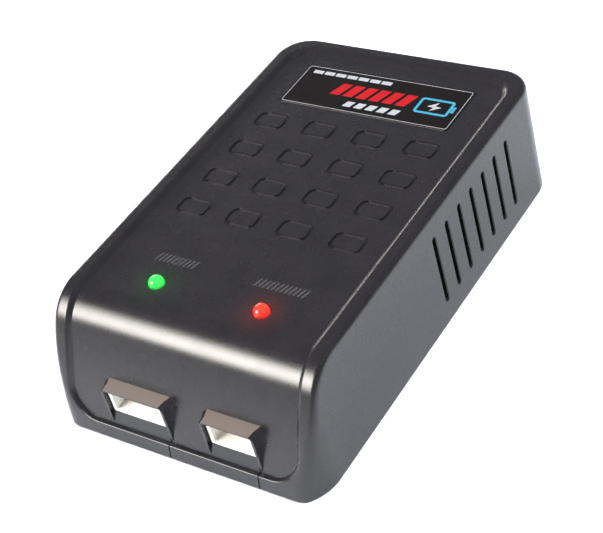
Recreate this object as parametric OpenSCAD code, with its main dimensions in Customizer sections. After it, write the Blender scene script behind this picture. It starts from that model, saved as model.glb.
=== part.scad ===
// Compact two-port balance battery charger with its own mains supply.
// Millimetres. +X is to the right seen from the front, -Y is the front with the two
// balance sockets, +Y is the back with the mains inlet, +Z is up.
// The origin is the centre of the base, on the surface that the charger stands on.

/* [Case] */
// Width of the case at its base
case_w = 56; // [55:0.5:58]
// Length of the case at its base
case_l = 90.4; // [90:0.2:92]
// Height of the rim that runs round the top
case_h = 23.75; // [23.5:0.05:24.5]
// How far each side wall leans in from base to rim
side_draft = 0.5; // [0:0.1:0.8]
// Thickness of the side and back walls
side_wall = 2; // [1.8:0.1:2.2]
// Thickness of the top and front, measured under the rim
top_wall = 2.6; // [2.4:0.1:2.8]
// Radius of the curve between the top and the front
brow_r = 8.5; // [7:0.5:10]
// Radius of the long, shallow curve of the front
front_r = 97.8; // [80:1:120]
// How far the front leans back, in degrees, where it meets the brow
front_lean = 27; // [24:1:30]
// Tight and wide radius of the front upright corners
front_corner_r = [2.8, 9.3]; // [2.2:0.1:12]
// Radius of the back upright corners
back_corner_r = 6.5; // [5:0.5:7]
// Gap between the upper shell and the lower shell
shell_gap = 0.15; // [0.1:0.05:0.25]

/* [Panel] */
// How deep the panel lies below the rim
panel_depth = 0.75; // [0.5:0.05:0.9]
// Width of the rim at each side
rim_side = 3.1; // [2.8:0.1:3.4]
// Width of the rim at the back
rim_back = 3.2; // [2.8:0.1:3.6]
// Height of the strip below the panel on the front
rim_front = 3; // [2.6:0.1:3.4]
// Radius of the panel corners
panel_corner_r = 5; // [4:0.5:6]
// Pitch of the decorative rings across and along the panel
ring_pitch = [10.98, 8.83]; // [8:0.01:11]
// Outer size of one ring
ring_size = [6.6, 4.4]; // [4:0.1:7]
// Width and depth of the groove of one ring
ring_groove = [0.6, 0.3]; // [0.2:0.1:0.8]
// Distance of the middle of the ring field behind the centre
ring_field_y = 6.1; // [5:0.1:7]
// Size of the label on the panel
label_size = [37.1, 12.3]; // [10:0.1:38]
// Distance of the label's middle behind the centre
label_y = 31.55; // [31:0.05:32]

/* [Vents] */
// Number of slots in each side wall
vent_count = 7; // [5:1:7]
// Width of one slot
vent_w = 1.1; // [0.8:0.1:1.4]
// Pitch of the slots
vent_pitch = 4.64; // [4:0.01:4.8]
// Lowest and highest point of a slot
vent_z = [4.54, 19.24]; // [4:0.1:20]
// Distance of the first slot behind the centre
vent_first_y = 2.1; // [1:0.1:3]

/* [Balance sockets] */
// Pitch of the contacts
contact_pitch = 2.5; // [2.5:0.1:2.5]
// Contacts in the left and the right socket
contacts = [4, 3]; // [3:1:4]
// Middle of the left and the right socket
socket_x = [-8.8, 11.2]; // [-10:0.1:12]
// Height and depth of a socket housing
socket_size = [5.75, 9.5]; // [5.5:0.05:10]
// Distance of the sockets' mouths in front of the centre
socket_mouth_y = 42.6; // [42.4:0.1:42.8]
// Distance of the hoods' faces in front of the centre
hood_face_y = 43.45; // [43.35:0.05:43.55]

/* [Mains inlet] */
// Width, depth and height of the inlet housing
inlet_size = [20, 16, 12.4]; // [12:0.1:20]
// Diameter of a contact pin
inlet_pin_d = 2.36; // [2.36:0.01:2.36]
// Distance between the two contact pins
inlet_pin_pitch = 8.6; // [8.6:0.1:8.6]
// Free length of a contact pin
inlet_pin_free = 10.3; // [9:0.1:10.5]
// Radius of each lobe of the inlet's recess
inlet_lobe_r = 4.2; // [4:0.1:4.3]
// Distance between the middles of the lobes
inlet_lobe_pitch = 6.8; // [6.6:0.1:7]
// Depth of the recess
inlet_recess = 12; // [11.5:0.1:12.5]

/* [Lights] */
// Diameter of an indicator lens
led_d = 3; // [3:0.1:3]
// Middle of each indicator left and right of the centre
led_x = 11.09; // [10:0.01:12]
// Distance of the indicators in front of the centre
led_y = 26.66; // [26:0.01:28]
// Height of the top of the lens
led_top = 24.4; // [24.2:0.1:24.6]

/* [Hidden] */
$fn = 48;
CUT = 1;             // how far a cutter runs past the face that it cuts
SMALL = 0.01;        // how far two solids overlap where they are one piece

half_w = case_w / 2;
half_l = case_l / 2;
panel_z = case_h - panel_depth;

// Side profile: a short brow arc from the flat top, then a long shallow arc to the base.
arc_steps = 10;
brow_z = case_h - brow_r;
front_z = brow_z + (brow_r - front_r) * sin(front_lean);
front_y = -half_l + sqrt(front_r * front_r - front_z * front_z);
brow_y = front_y - (front_r - brow_r) * cos(front_lean);

// Heights of the stack inside the case.
plate_t = 1.6;
lip_top = 3.2;
post_top = 3.4;
sheet_t = 0.25;
board_t = 1.6;
board_bottom = 3.6;
board_top = board_bottom + board_t;
lead_end = 2.2;      // where trimmed leads end under the board
tongue_top = board_top - 0.1;
ceiling = case_h - top_wall;

// Outline of the board: a full-width middle with a narrower tab at each end.
board_half_w = 24.8;
board_tab_half_w = 19;
board_mid_y = [-29.2, 34.2];
board_end_y = [-39.8, 42.4];

// Case screws, at the four corners.
case_screw_x = 22.4;
case_screw_y = [-32.5, 37.5];
case_screw_d = 2.5;
case_screw_tip = 11.5;
case_head_d = 4.8;
case_head_z = [0.5, 2];
boss_r = 3;
post_r = 3.4;
counterbore_d = 5.6;

// Board screws, each in a post of the lower shell.
board_screws_at = [[-22.3, 28.5], [22.3, 29.5], [-22.3, -14.5], [22.3, -14.5]];
board_screw_d = 2.2;
board_screw_tip = 0.9;
board_head_d = 4.4;
board_head_h = 1.5;
board_post_r = 2.3;

socket_wall = 0.8;
socket_top = board_top + socket_size[0];
socket_back_y = -socket_mouth_y + socket_size[1];
socket_pin = 0.64;
socket_pin_z = board_top + 2.9;
socket_pin_tip_y = -socket_mouth_y + 1.6;
socket_cavity_y = -socket_mouth_y + 7.7;
hood_wall = 0.45;
hood_top = socket_top + shell_gap + 0.4;
hood_chamfer = 0.7;
hood_flare = 1.1;
hood_root_y = -38;
tongue_rise = 0.4;
mark_w = 0.42;
mark_pitch = 0.88;

inlet_face_y = half_l - 0.2;
inlet_z = board_top + 6.1;
inlet_floor_y = inlet_face_y - inlet_recess;

led_flange_z = [led_top - 5.3, led_top - 4.3];

// Where the bigger parts stand on the board.
fuse_at = [-14.8, 30.5];
thermistor_at = [15, 31];
x_cap_at = [0, 24.5];
choke_at = [-15.5, 17.5];
bridge_at = [16.9, 23];
input_cap_at = [-15.5, -2.5];
transformer_at = [3, 6];
heatsink_x = 21;
transistor_y = 7;
output_heatsink_x = -21;
diode_y = -23;
y_cap_at = [7.5, -9.5];
optocoupler_at = [-2, -9];
supply_chip_at = [17, -8];
output_caps_at = [[-11.5, -17], [-2.5, -17]];
charge_chip_at = [7.5, -17];
comparators_at = [[5.2, -23.3], [-3.8, -25.6]];
charge_transistors_at = [[16.9, -19], [16.9, -25.9], [1.9, -36.4]];
resistors_x = [-10.5, 1.5, 13];
resistors_y = -30.7;

// Leads as [x, y], shared by the parts and by the holes of the board.
fuse_leads = [for (s = [-1, 1]) fuse_at + [s * 2.54, 0]];
thermistor_leads = [for (s = [-1, 1]) thermistor_at + [s * 2.5, 0]];
x_cap_leads = [for (s = [-1, 1]) x_cap_at + [s * 5, 0]];
choke_leads = [for (s = [-1, 1], t = [-1, 1]) choke_at + [s * 5, t * 6.6]];
bridge_leads = [for (i = [-1.5:1:1.5]) bridge_at + [i * 3.81, 0]];
input_cap_leads = [for (s = [-1, 1]) input_cap_at + [s * 2.5, 11.2]];
transformer_leads = [for (i = [-2:2], s = [-1, 1]) transformer_at + [i * 2.6, s * 7.6]];
transistor_leads = [for (i = [-1:1]) [heatsink_x - 1.5, transistor_y + i * 2.28]];
diode_leads = [for (i = [-1:1]) [output_heatsink_x + 1.5, diode_y + i * 2.28]];
y_cap_leads = [for (s = [-1, 1]) y_cap_at + [s * 3.75, 0]];
output_cap_leads = [for (p = output_caps_at, s = [-1, 1]) p + [s * 1.75, 0]];
led_leads_at = [for (s = [-1, 1], t = [-1, 1]) [s * led_x + t * 1.27, -led_y]];
resistor_leads = [for (x = resistors_x, s = [-1, 1]) [x + s * 5, resistors_y]];
dip_leads = concat([for (s = [-1, 1], t = [-1, 1]) optocoupler_at + [s * 3.81, t * 1.27]],
                   [for (s = [-1, 1], i = [-1.5:1:1.5]) supply_chip_at + [i * 2.54, s * 3.81]]);
round_leads = concat(fuse_leads, thermistor_leads, x_cap_leads, choke_leads, bridge_leads,
                     input_cap_leads, transformer_leads, transistor_leads, diode_leads,
                     y_cap_leads, output_cap_leads, led_leads_at, resistor_leads, dip_leads);
lead_d = 0.7;
lead_hole_d = 1.1;

// ---- Geometry helpers ----

function arc(c, r, a0, a1) =
    [for (i = [0:arc_steps]) let (a = a0 + (a1 - a0) * i / arc_steps) c + r * [cos(a), sin(a)]];

// Side profile as [y, z], moved in by t at the top and front, with its base at height z0.
function side_profile(t, z0) =
    let (a0 = asin((z0 - front_z) / (front_r - t)))
    concat([[half_l, z0]],
           arc([front_y, front_z], front_r - t, 180 - a0, 180 - front_lean),
           arc([brow_y, brow_z], brow_r - t, 180 - front_lean, 90),
           [[half_l, case_h - t]]);

// Right half of the plan outline as [x, y], moved in by t, from front to back.
function half_outline(t) =
    let (r1 = front_corner_r[0], r2 = front_corner_r[1], rb = back_corner_r,
         c2 = [half_w - r2, -half_l + r1 + (r2 - r1) * sin(45)],
         c1 = c2 + (r2 - r1) * [cos(45), -sin(45)])
    concat(arc(c1, r1 - t, -90, -45), arc(c2, r2 - t, -45, 0),
           arc([half_w - rb, half_l - rb], rb - t, 0, 90));

function outline(t) =
    let (h = half_outline(t), n = len(h))
    concat(h, [for (i = [1:n]) [-h[n - i][0], h[n - i][1]]]);

// Solid of the case moved in by t_profile (top and front) and t_side (sides and back).
module case_solid(t_profile, t_side, z0) {
    intersection() {
        rotate([90, 0, 90])
            linear_extrude(height = case_w + 2, center = true)
                polygon(side_profile(t_profile, z0));
        translate([0, 0, z0])
            linear_extrude(height = case_h + 2)
                polygon(outline(t_side));
        rotate([90, 0, 0])
            linear_extrude(height = case_l + 2, center = true)
                polygon([[-half_w + t_side, z0], [half_w - t_side, z0],
                         [half_w - t_side - side_draft, case_h],
                         [-half_w + t_side + side_draft, case_h]]);
    }
}

module case_inside(z0) {
    case_solid(top_wall, side_wall, z0);
}

// Box between two corners.
module block(a, b) {
    translate(a) cube(b - a);
}

// Rectangle with round corners, on the centre.
module round_rect(size, r) {
    x = size[0] / 2 - r;
    y = size[1] / 2 - r;
    polygon(concat(arc([x, y], r, 0, 90), arc([-x, y], r, 90, 180),
                   arc([-x, -y], r, 180, 270), arc([x, -y], r, 270, 360)));
}

module rod(at, d, z0, z1) {
    translate([at[0], at[1], z0]) cylinder(d = d, h = z1 - z0);
}

module rods(points, d, z0, z1) {
    for (p = points) rod(p, d, z0, z1);
}

module at_case_screws() {
    for (x = [-case_screw_x, case_screw_x], y = case_screw_y) translate([x, y, 0]) children();
}

// Everything that the sunken panel takes away from the case.
module panel_cut() {
    panel_half_w = half_w - side_draft - rim_side;
    panel_back = half_l - rim_back;
    difference() {
        intersection() {
            translate([0, panel_back - case_l / 2, 0])
                linear_extrude(height = case_h + CUT)
                    round_rect([2 * panel_half_w, case_l], panel_corner_r);
            translate([0, 0, rim_front + case_h])
                rotate([90, 0, 0])
                    linear_extrude(height = case_l + 2, center = true)
                        round_rect([2 * panel_half_w, 2 * case_h], panel_corner_r);
        }
        case_solid(panel_depth, -CUT, -CUT);
    }
}

function socket_w(i) = (contacts[i] - 1) * contact_pitch + 4.9;

// Passage of one socket: the mouth, and the slot below it down to the base.
module socket_slot(i) {
    w = socket_w(i) / 2 + shell_gap;
    block([socket_x[i] - w, -half_l - CUT, -CUT],
          [socket_x[i] + w, -36, socket_top + shell_gap]);
}

module inlet_slot() {
    w = inlet_size[0] / 2 + shell_gap;
    block([-w, half_l - 6, -CUT], [w, half_l + CUT, board_top + inlet_size[2] + shell_gap]);
}

// ---- Case ----

// Hood that stands out of the sloping front round one socket.
module hood(i) {
    w = socket_w(i) / 2 + shell_gap + hood_wall;
    wide = w + hood_flare;
    shoulder = hood_top - hood_chamfer - hood_flare;
    intersection() {
        translate([socket_x[i], 0, rim_front + 0.4])
            linear_extrude(height = hood_top - rim_front - 0.4)
                polygon([[-w, -hood_face_y], [w, -hood_face_y],
                         [wide, hood_root_y], [-wide, hood_root_y]]);
        translate([socket_x[i], hood_root_y + 1, 0])
            rotate([90, 0, 0])
                linear_extrude(height = hood_face_y + hood_root_y + 2)
                    polygon([[-wide, 0], [wide, 0], [wide, shoulder],
                             [w - hood_chamfer, hood_top], [hood_chamfer - w, hood_top],
                             [-wide, shoulder]]);
    }
}

module ring(size, groove) {
    difference() {
        linear_extrude(height = groove[1] + CUT) round_rect(size, 1.3);
        translate([0, 0, -CUT])
            linear_extrude(height = groove[1] + 3 * CUT)
                round_rect(size - 2 * groove[0] * [1, 1], 0.75);
    }
}

module ring_field() {
    for (i = [-1.5:1:1.5], j = [-1.5:1:1.5])
        translate([i * ring_pitch[0], ring_field_y + j * ring_pitch[1], panel_z - ring_groove[1]])
            ring(ring_size, ring_groove);
}

module vent_slots() {
    for (i = [0:vent_count - 1])
        translate([0, vent_first_y + i * vent_pitch, 0]) {
            for (z = [vent_z[0] + vent_w / 2, vent_z[1] - vent_w / 2])
                translate([-half_w - CUT, 0, z])
                    rotate([0, 90, 0]) cylinder(d = vent_w, h = case_w + 2 * CUT);
            block([-half_w - CUT, -vent_w / 2, vent_z[0] + vent_w / 2],
                  [half_w + CUT, vent_w / 2, vent_z[1] - vent_w / 2]);
        }
}

// Plain slanted strokes behind each indicator, in place of a word.
module indicator_marks() {
    for (s = [-1, 1])
        let (last = s < 0 ? 9 : 11)
            for (i = [0:last])
                translate([s * led_x + (i - last / 2) * mark_pitch, -led_y + 5, panel_z - 0.15])
                    linear_extrude(height = 1)
                        polygon([[-mark_w / 2, 0], [mark_w / 2, 0],
                                 [mark_w / 2 + 0.6, 2], [-mark_w / 2 + 0.6, 2]]);
}

module upper_shell() {
    color([0.10, 0.10, 0.11])
        difference() {
            union() {
                difference() {
                    union() {
                        difference() {
                            case_solid(0, 0, 0);
                            panel_cut();
                        }
                        hood(0);
                        hood(1);
                    }
                    case_inside(-CUT);
                }
                intersection() {
                    at_case_screws() rod([0, 0], 2 * boss_r, post_top, case_h);
                    case_solid(top_wall - 1, side_wall - 1, -CUT);
                }
            }
            at_case_screws() rod([0, 0], case_screw_d, post_top - CUT, case_screw_tip + 0.5);
            socket_slot(0);
            socket_slot(1);
            inlet_slot();
            vent_slots();
            ring_field();
            indicator_marks();
            for (s = [-1, 1]) rod([s * led_x, -led_y], led_d + 0.2, ceiling - CUT, case_h + CUT);
            translate([0, label_y, panel_z - 0.1])
                linear_extrude(height = 1) round_rect(label_size, 0.6);
        }
}

// Part of the case wall that fills a slot below a socket or the inlet.
module tongue(x0, x1, y0, y1, top) {
    difference() {
        intersection() {
            case_solid(0, 0, 0);
            block([x0, y0, 0], [x1, y1, top]);
        }
        panel_cut();
        translate([0, 0, plate_t])
            case_solid(top_wall + 0.6, side_wall + 0.6, -SMALL);
        block([-half_w, -socket_mouth_y - 0.05, tongue_top], [half_w, 0, case_h]);
    }
}

module lower_shell() {
    color([0.11, 0.11, 0.125])
        difference() {
            union() {
                intersection() {
                    case_solid(top_wall + shell_gap, side_wall + shell_gap, 0);
                    union() {
                        block([-half_w, -half_l, 0], [half_w, half_l, plate_t]);
                        difference() {
                            block([-half_w, -half_l, 0], [half_w, half_l, lip_top]);
                            case_solid(top_wall + 1.6, side_wall + 1.4, -CUT);
                        }
                        at_case_screws() rod([0, 0], 2 * post_r, 0, post_top);
                    }
                }
                for (i = [0, 1]) {
                    w = socket_w(i) / 2;
                    tongue(socket_x[i] - w, socket_x[i] + w, -half_l, -40,
                           board_top + tongue_rise);
                }
                tongue(-inlet_size[0] / 2, inlet_size[0] / 2, 42, half_l, tongue_top);
                rods(board_screws_at, 2 * board_post_r, 0, board_bottom);
            }
            at_case_screws() {
                rod([0, 0], counterbore_d, -CUT, case_head_z[1]);
                rod([0, 0], case_screw_d + 0.4, 0, post_top + CUT);
            }
            rods(board_screws_at, board_screw_d, board_screw_tip - 0.1, board_bottom + CUT);
            translate([0, 0, -CUT])
                linear_extrude(height = CUT + 0.25) round_rect([40, 26], 1.5);
        }
}

module top_label() {
    color([0.03, 0.03, 0.035])
        translate([0, label_y, panel_z - 0.1])
            linear_extrude(height = 0.2) round_rect(label_size, 0.6);
}

module rating_label() {
    color([0.75, 0.76, 0.78])
        translate([0, 0, 0.05])
            linear_extrude(height = 0.2) round_rect([39.4, 25.4], 1.2);
}

module case_screws() {
    color([0.20, 0.20, 0.22])
        at_case_screws()
            difference() {
                union() {
                    rod([0, 0], case_head_d, case_head_z[0], case_head_z[1]);
                    rod([0, 0], case_screw_d, case_head_z[1] - SMALL, case_screw_tip);
                }
                for (a = [0, 90])
                    rotate([0, 0, a]) block([-1.4, -0.35, 0], [1.4, 0.35, 1.3]);
            }
}

// ---- Board and its fasteners ----

module board_outline() {
    block([-board_half_w, board_mid_y[0], board_bottom], [board_half_w, board_mid_y[1], board_top]);
    block([-board_tab_half_w, board_end_y[0], board_bottom],
          [board_tab_half_w, board_end_y[1], board_top]);
}

module socket_pin_holes() {
    for (i = [0, 1], k = [0:contacts[i] - 1])
        rod([contact_x(i, k), socket_back_y + 0.68], 1.1, 0, board_top + CUT);
}

module circuit_board() {
    color([0.05, 0.30, 0.14])
        difference() {
            board_outline();
            rods(round_leads, lead_hole_d, 0, board_top + CUT);
            rods(board_screws_at, board_screw_d + 0.3, 0, board_top + CUT);
            socket_pin_holes();
            for (s = [-1, 1])
                rod([s * inlet_pin_pitch / 2, inlet_leg_y], 1.8, 0, board_top + CUT);
        }
}

module insulation_sheet() {
    color([0.86, 0.80, 0.55])
        difference() {
            block([-21.5, -38, plate_t], [21.5, 41, plate_t + sheet_t]);
            rods(board_screws_at, 2 * board_post_r + 0.6, 0, 5);
            at_case_screws() rod([0, 0], 2 * post_r + 0.6, 0, 5);
        }
}

module board_screws() {
    color([0.72, 0.72, 0.74])
        for (p = board_screws_at)
            difference() {
                union() {
                    rod(p, board_screw_d, board_screw_tip, board_top + SMALL);
                    rod(p, board_head_d, board_top, board_top + board_head_h);
                }
                translate([p[0], p[1], board_top + board_head_h - 0.8])
                    for (a = [0, 90]) rotate([0, 0, a]) block([-1.2, -0.3, 0], [1.2, 0.3, 2]);
            }
}

// ---- Balance sockets ----

function contact_x(i, k) = socket_x[i] + (k - (contacts[i] - 1) / 2) * contact_pitch;

module balance_socket(i) {
    w = socket_w(i) / 2;
    color([0.93, 0.92, 0.88])
        difference() {
            block([socket_x[i] - w, -socket_mouth_y, board_top],
                  [socket_x[i] + w, socket_back_y, socket_top]);
            block([socket_x[i] - w + socket_wall, -socket_mouth_y - CUT, board_top + socket_wall],
                  [socket_x[i] + w - socket_wall, socket_cavity_y, socket_top - socket_wall]);
            for (s = [-1, 1])
                block([socket_x[i] + s * (w - 2.4) - 0.6, -socket_mouth_y - CUT, socket_top - 1.5],
                      [socket_x[i] + s * (w - 2.4) + 0.6, -socket_mouth_y + 3.4, socket_top + CUT]);
            for (k = [0:contacts[i] - 1])
                block([contact_x(i, k) - socket_pin / 2, -40, socket_pin_z - socket_pin / 2],
                      [contact_x(i, k) + socket_pin / 2, socket_back_y + CUT,
                       socket_pin_z + socket_pin / 2]);
        }
}

module balance_pins(i) {
    leg_y = socket_back_y + 0.36;
    color([0.80, 0.72, 0.45])
        for (k = [0:contacts[i] - 1]) {
            x = contact_x(i, k);
            block([x - socket_pin / 2, socket_pin_tip_y, socket_pin_z - socket_pin / 2],
                  [x + socket_pin / 2, leg_y + socket_pin, socket_pin_z + socket_pin / 2]);
            block([x - socket_pin / 2, leg_y, lead_end],
                  [x + socket_pin / 2, leg_y + socket_pin, socket_pin_z]);
        }
}

module balance_socket_3s() { balance_socket(0); }
module balance_pins_3s() { balance_pins(0); }
module balance_socket_2s() { balance_socket(1); }
module balance_pins_2s() { balance_pins(1); }

// ---- Indicators ----

module led_lens(x) {
    translate([x, -led_y, 0]) {
        rod([0, 0], led_d + 0.8, led_flange_z[0], led_flange_z[1]);
        rod([0, 0], led_d, led_flange_z[1] - SMALL, led_top - led_d / 2);
        intersection() {
            translate([0, 0, led_top - led_d / 2]) sphere(d = led_d);
            rod([0, 0], led_d + 1, led_top - led_d / 2 - SMALL, led_top + CUT);
        }
    }
}

module green_led() { color([0.15, 0.85, 0.25]) led_lens(-led_x); }
module red_led() { color([0.95, 0.15, 0.10]) led_lens(led_x); }

module led_leads() {
    color([0.75, 0.75, 0.77]) rods(led_leads_at, 0.5, lead_end, led_flange_z[0]);
}

module led_spacers() {
    color([0.12, 0.12, 0.12])
        difference() {
            for (s = [-1, 1]) rod([s * led_x, -led_y], 4.2, board_top, led_flange_z[0]);
            rods(led_leads_at, 0.9, 0, case_h);
        }
}

// ---- Mains inlet ----

inlet_leg_y = inlet_face_y - inlet_size[1] - 0.8;
inlet_stem_d = 2;

module along_y(x, z, y0, y1, d) {
    translate([x, y0, z]) rotate([-90, 0, 0]) cylinder(d = d, h = y1 - y0);
}

module ac_inlet() {
    color([0.07, 0.07, 0.075])
        difference() {
            block([-inlet_size[0] / 2, inlet_face_y - inlet_size[1], board_top],
                  [inlet_size[0] / 2, inlet_face_y, board_top + inlet_size[2]]);
            for (s = [-1, 1]) {
                along_y(s * inlet_lobe_pitch / 2, inlet_z, inlet_floor_y, half_l + CUT,
                        2 * inlet_lobe_r);
                along_y(s * inlet_pin_pitch / 2, inlet_z, inlet_floor_y - 10, half_l,
                        inlet_stem_d);
            }
        }
}

module inlet_pins() {
    color([0.82, 0.80, 0.74])
        for (s = [-1, 1]) {
            x = s * inlet_pin_pitch / 2;
            along_y(x, inlet_z, inlet_floor_y, inlet_floor_y + inlet_pin_free, inlet_pin_d);
            along_y(x, inlet_z, inlet_leg_y, inlet_floor_y + SMALL, inlet_stem_d);
            rod([x, inlet_leg_y], 1.2, lead_end, inlet_z);
        }
}

// ---- Supply side ----

module fuse() {
    color([0.16, 0.14, 0.13]) rod(fuse_at, 8.2, board_top + 0.3, board_top + 7.8);
    color([0.75, 0.75, 0.77]) rods(fuse_leads, lead_d, lead_end, board_top + 0.4);
}

module thermistor() {
    r = 4.3;
    color([0.08, 0.22, 0.12])
        along_y(thermistor_at[0], board_top + 2.2 + r, thermistor_at[1] - 2, thermistor_at[1] + 2,
                2 * r);
    color([0.75, 0.75, 0.77]) rods(thermistor_leads, lead_d, lead_end, board_top + 2.2 + r);
}

choke_z = board_top + 1;
choke_core_size = [3.6, 7, 6];   // inner radius, outer radius, height
choke_turn = 0.8;

module choke_core() {
    color([0.30, 0.31, 0.33])
        translate([choke_at[0], choke_at[1], choke_z])
            difference() {
                cylinder(r = choke_core_size[1], h = choke_core_size[2]);
                translate([0, 0, -CUT])
                    cylinder(r = choke_core_size[0], h = choke_core_size[2] + 2 * CUT);
            }
}

module choke_windings() {
    color([0.70, 0.36, 0.16]) {
        translate([choke_at[0], choke_at[1], choke_z])
            difference() {
                translate([0, 0, -choke_turn])
                    cylinder(r = choke_core_size[1] + choke_turn,
                             h = choke_core_size[2] + 2 * choke_turn);
                translate([0, 0, -2])
                    cylinder(r = choke_core_size[0] - choke_turn, h = choke_core_size[2] + 4);
                difference() {
                    cylinder(r = choke_core_size[1], h = choke_core_size[2]);
                    translate([0, 0, -CUT])
                        cylinder(r = choke_core_size[0], h = choke_core_size[2] + 2 * CUT);
                }
                block([-2.2, -10, -2], [2.2, 10, 9]);
            }
        rods(choke_leads, lead_d, lead_end, choke_z - choke_turn + 0.2);
    }
}

module x_capacitor() {
    color([0.86, 0.70, 0.14])
        block([x_cap_at[0] - 6.5, x_cap_at[1] - 3, board_top],
              [x_cap_at[0] + 6.5, x_cap_at[1] + 3, board_top + 11.5]);
    color([0.75, 0.75, 0.77]) rods(x_cap_leads, lead_d, lead_end, board_top + SMALL);
}

module y_capacitor() {
    r = 4;
    color([0.10, 0.28, 0.62])
        along_y(y_cap_at[0], board_top + 1.8 + r, y_cap_at[1] - 1.9, y_cap_at[1] + 1.9, 2 * r);
    color([0.75, 0.75, 0.77]) rods(y_cap_leads, lead_d, lead_end, board_top + 1.8 + r);
}

module bridge_rectifier() {
    color([0.09, 0.09, 0.10])
        difference() {
            block([bridge_at[0] - 7.3, bridge_at[1] - 1.75, board_top + 2.2],
                  [bridge_at[0] + 7.3, bridge_at[1] + 1.75, board_top + 12.6]);
            translate([bridge_at[0] - 7.3, bridge_at[1], board_top + 12.6])
                rotate([0, 45, 0]) cube([2.4, 6, 2.4], center = true);
        }
    color([0.75, 0.75, 0.77]) rods(bridge_leads, lead_d, lead_end, board_top + 2.3);
}

input_cap_r = 6.2;

module input_capacitor() {
    z = board_top + input_cap_r + 0.1;
    y0 = input_cap_at[1] - 10;
    y1 = input_cap_at[1] + 10;
    color([0.10, 0.12, 0.16]) {
        along_y(input_cap_at[0], z, y0, y1 - 2.6, 2 * input_cap_r);
        along_y(input_cap_at[0], z, y1 - 2.8, y1 - 1.8, 2 * input_cap_r - 1);
        along_y(input_cap_at[0], z, y1 - 2, y1, 2 * input_cap_r);
    }
    color([0.75, 0.75, 0.77])
        for (p = input_cap_leads) {
            along_y(p[0], z, y1 - 0.2, p[1], lead_d);
            rod(p, lead_d, lead_end, z + lead_d / 2);
        }
}

// Transformer: a flat three-legged core, a bobbin on its middle leg, and the winding.
core_size = [20, 20, 5.8];
core_leg = 5.9;
core_window = [4.1, 14.2];
core_z = 9.6;
bobbin_wall = 0.8;
bobbin_half_l = core_window[1] / 2 - 0.1;
bobbin_flange = [13.8, 13.2];
core_mid_z = core_z + core_size[2] / 2;

module transformer_core() {
    color([0.17, 0.17, 0.18])
        translate([transformer_at[0], transformer_at[1], core_z])
            difference() {
                block([-core_size[0] / 2, -core_size[1] / 2, 0],
                      [core_size[0] / 2, core_size[1] / 2, core_size[2]]);
                for (s = [-1, 1])
                    translate([s * (core_leg + core_window[0]) / 2, 0, core_size[2] / 2])
                        cube([core_window[0], core_window[1], 2 * core_size[2]], center = true);
            }
}

module bobbin_section(x, y, z) {
    cube([x, y, z], center = true);
}

module transformer_bobbin() {
    color([0.13, 0.13, 0.13]) {
        translate([transformer_at[0], transformer_at[1], core_mid_z])
            difference() {
                union() {
                    bobbin_section(core_leg + 2 * bobbin_wall, 2 * bobbin_half_l,
                                   core_size[2] + 2 * bobbin_wall);
                    for (s = [-1, 1])
                        translate([0, s * (bobbin_half_l - 0.5), 0])
                            bobbin_section(bobbin_flange[0], 1, bobbin_flange[1]);
                }
                bobbin_section(core_leg, case_l, core_size[2]);
            }
        for (s = [-1, 1])
            translate([transformer_at[0], transformer_at[1] + s * 7.8, board_top]) {
                block([-6.9, -1.8, 0], [6.9, 1.8, core_z - board_top]);
            }
    }
    color([0.75, 0.75, 0.77]) rods(transformer_leads, lead_d, lead_end, board_top + SMALL);
}

module transformer_winding() {
    color([0.85, 0.68, 0.16])
        translate([transformer_at[0], transformer_at[1], core_mid_z])
            difference() {
                bobbin_section(bobbin_flange[0] - 0.8, 2 * (bobbin_half_l - 1),
                               bobbin_flange[1] - 0.8);
                bobbin_section(core_leg + 2 * bobbin_wall, case_l, core_size[2] + 2 * bobbin_wall);
            }
}

// Upright power part: a moulded body with a screw hole, standing against a heatsink at x.
module power_part(x, y, side, leads) {
    body = [3, 8, 11];
    color([0.10, 0.10, 0.10])
        difference() {
            block([side > 0 ? x - body[0] : x, y - body[1] / 2, board_top + 3],
                  [side > 0 ? x : x + body[0], y + body[1] / 2, board_top + 3 + body[2]]);
            translate([x, y, screw_z])
                rotate([0, 90, 0]) cylinder(d = 3.1, h = 10, center = true);
        }
    color([0.75, 0.75, 0.77]) rods(leads, lead_d, lead_end, board_top + 3.1);
}

screw_z = board_top + 10.8;
heatsink_t = 1.6;
heatsink_top = 19.6;

// Folded aluminium heatsink that stands on the board, with its face at x.
module heatsink(x, y, l, side) {
    x1 = x + side * heatsink_t;
    color([0.74, 0.75, 0.77])
        difference() {
            union() {
                block([min(x, x1), y - l / 2, board_top], [max(x, x1), y + l / 2, heatsink_top]);
                for (s = [-1, 1])
                    block([min(x, x + side * 3), y + s * (l / 2 - 0.6) - 0.6, board_top + 1],
                          [max(x, x + side * 3), y + s * (l / 2 - 0.6) + 0.6, heatsink_top]);
            }
            translate([x, y, screw_z]) rotate([0, 90, 0]) cylinder(d = 2.6, h = 10, center = true);
        }
}

module switching_transistor() { power_part(heatsink_x, transistor_y, 1, transistor_leads); }
module output_diode() { power_part(output_heatsink_x, diode_y, -1, diode_leads); }
module primary_heatsink() { heatsink(heatsink_x, transistor_y, 18, 1); }
module output_heatsink() { heatsink(output_heatsink_x, diode_y, 11, -1); }

module heatsink_screw(x, y, side) {
    translate([x, y, screw_z])
        rotate([0, side * 90, 0])
            translate([0, 0, -3])
                difference() {
                    union() {
                        cylinder(d = 2.6, h = 3 + heatsink_t);
                        translate([0, 0, -1.4]) cylinder(d = 4.8, h = 1.4);
                    }
                    translate([0, 0, -1])
                        cube([0.7, 3.2, 1], center = true);
                }
}

module heatsink_screws() {
    color([0.70, 0.70, 0.72]) {
        heatsink_screw(heatsink_x, transistor_y, 1);
        heatsink_screw(output_heatsink_x, diode_y, -1);
    }
}

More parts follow.
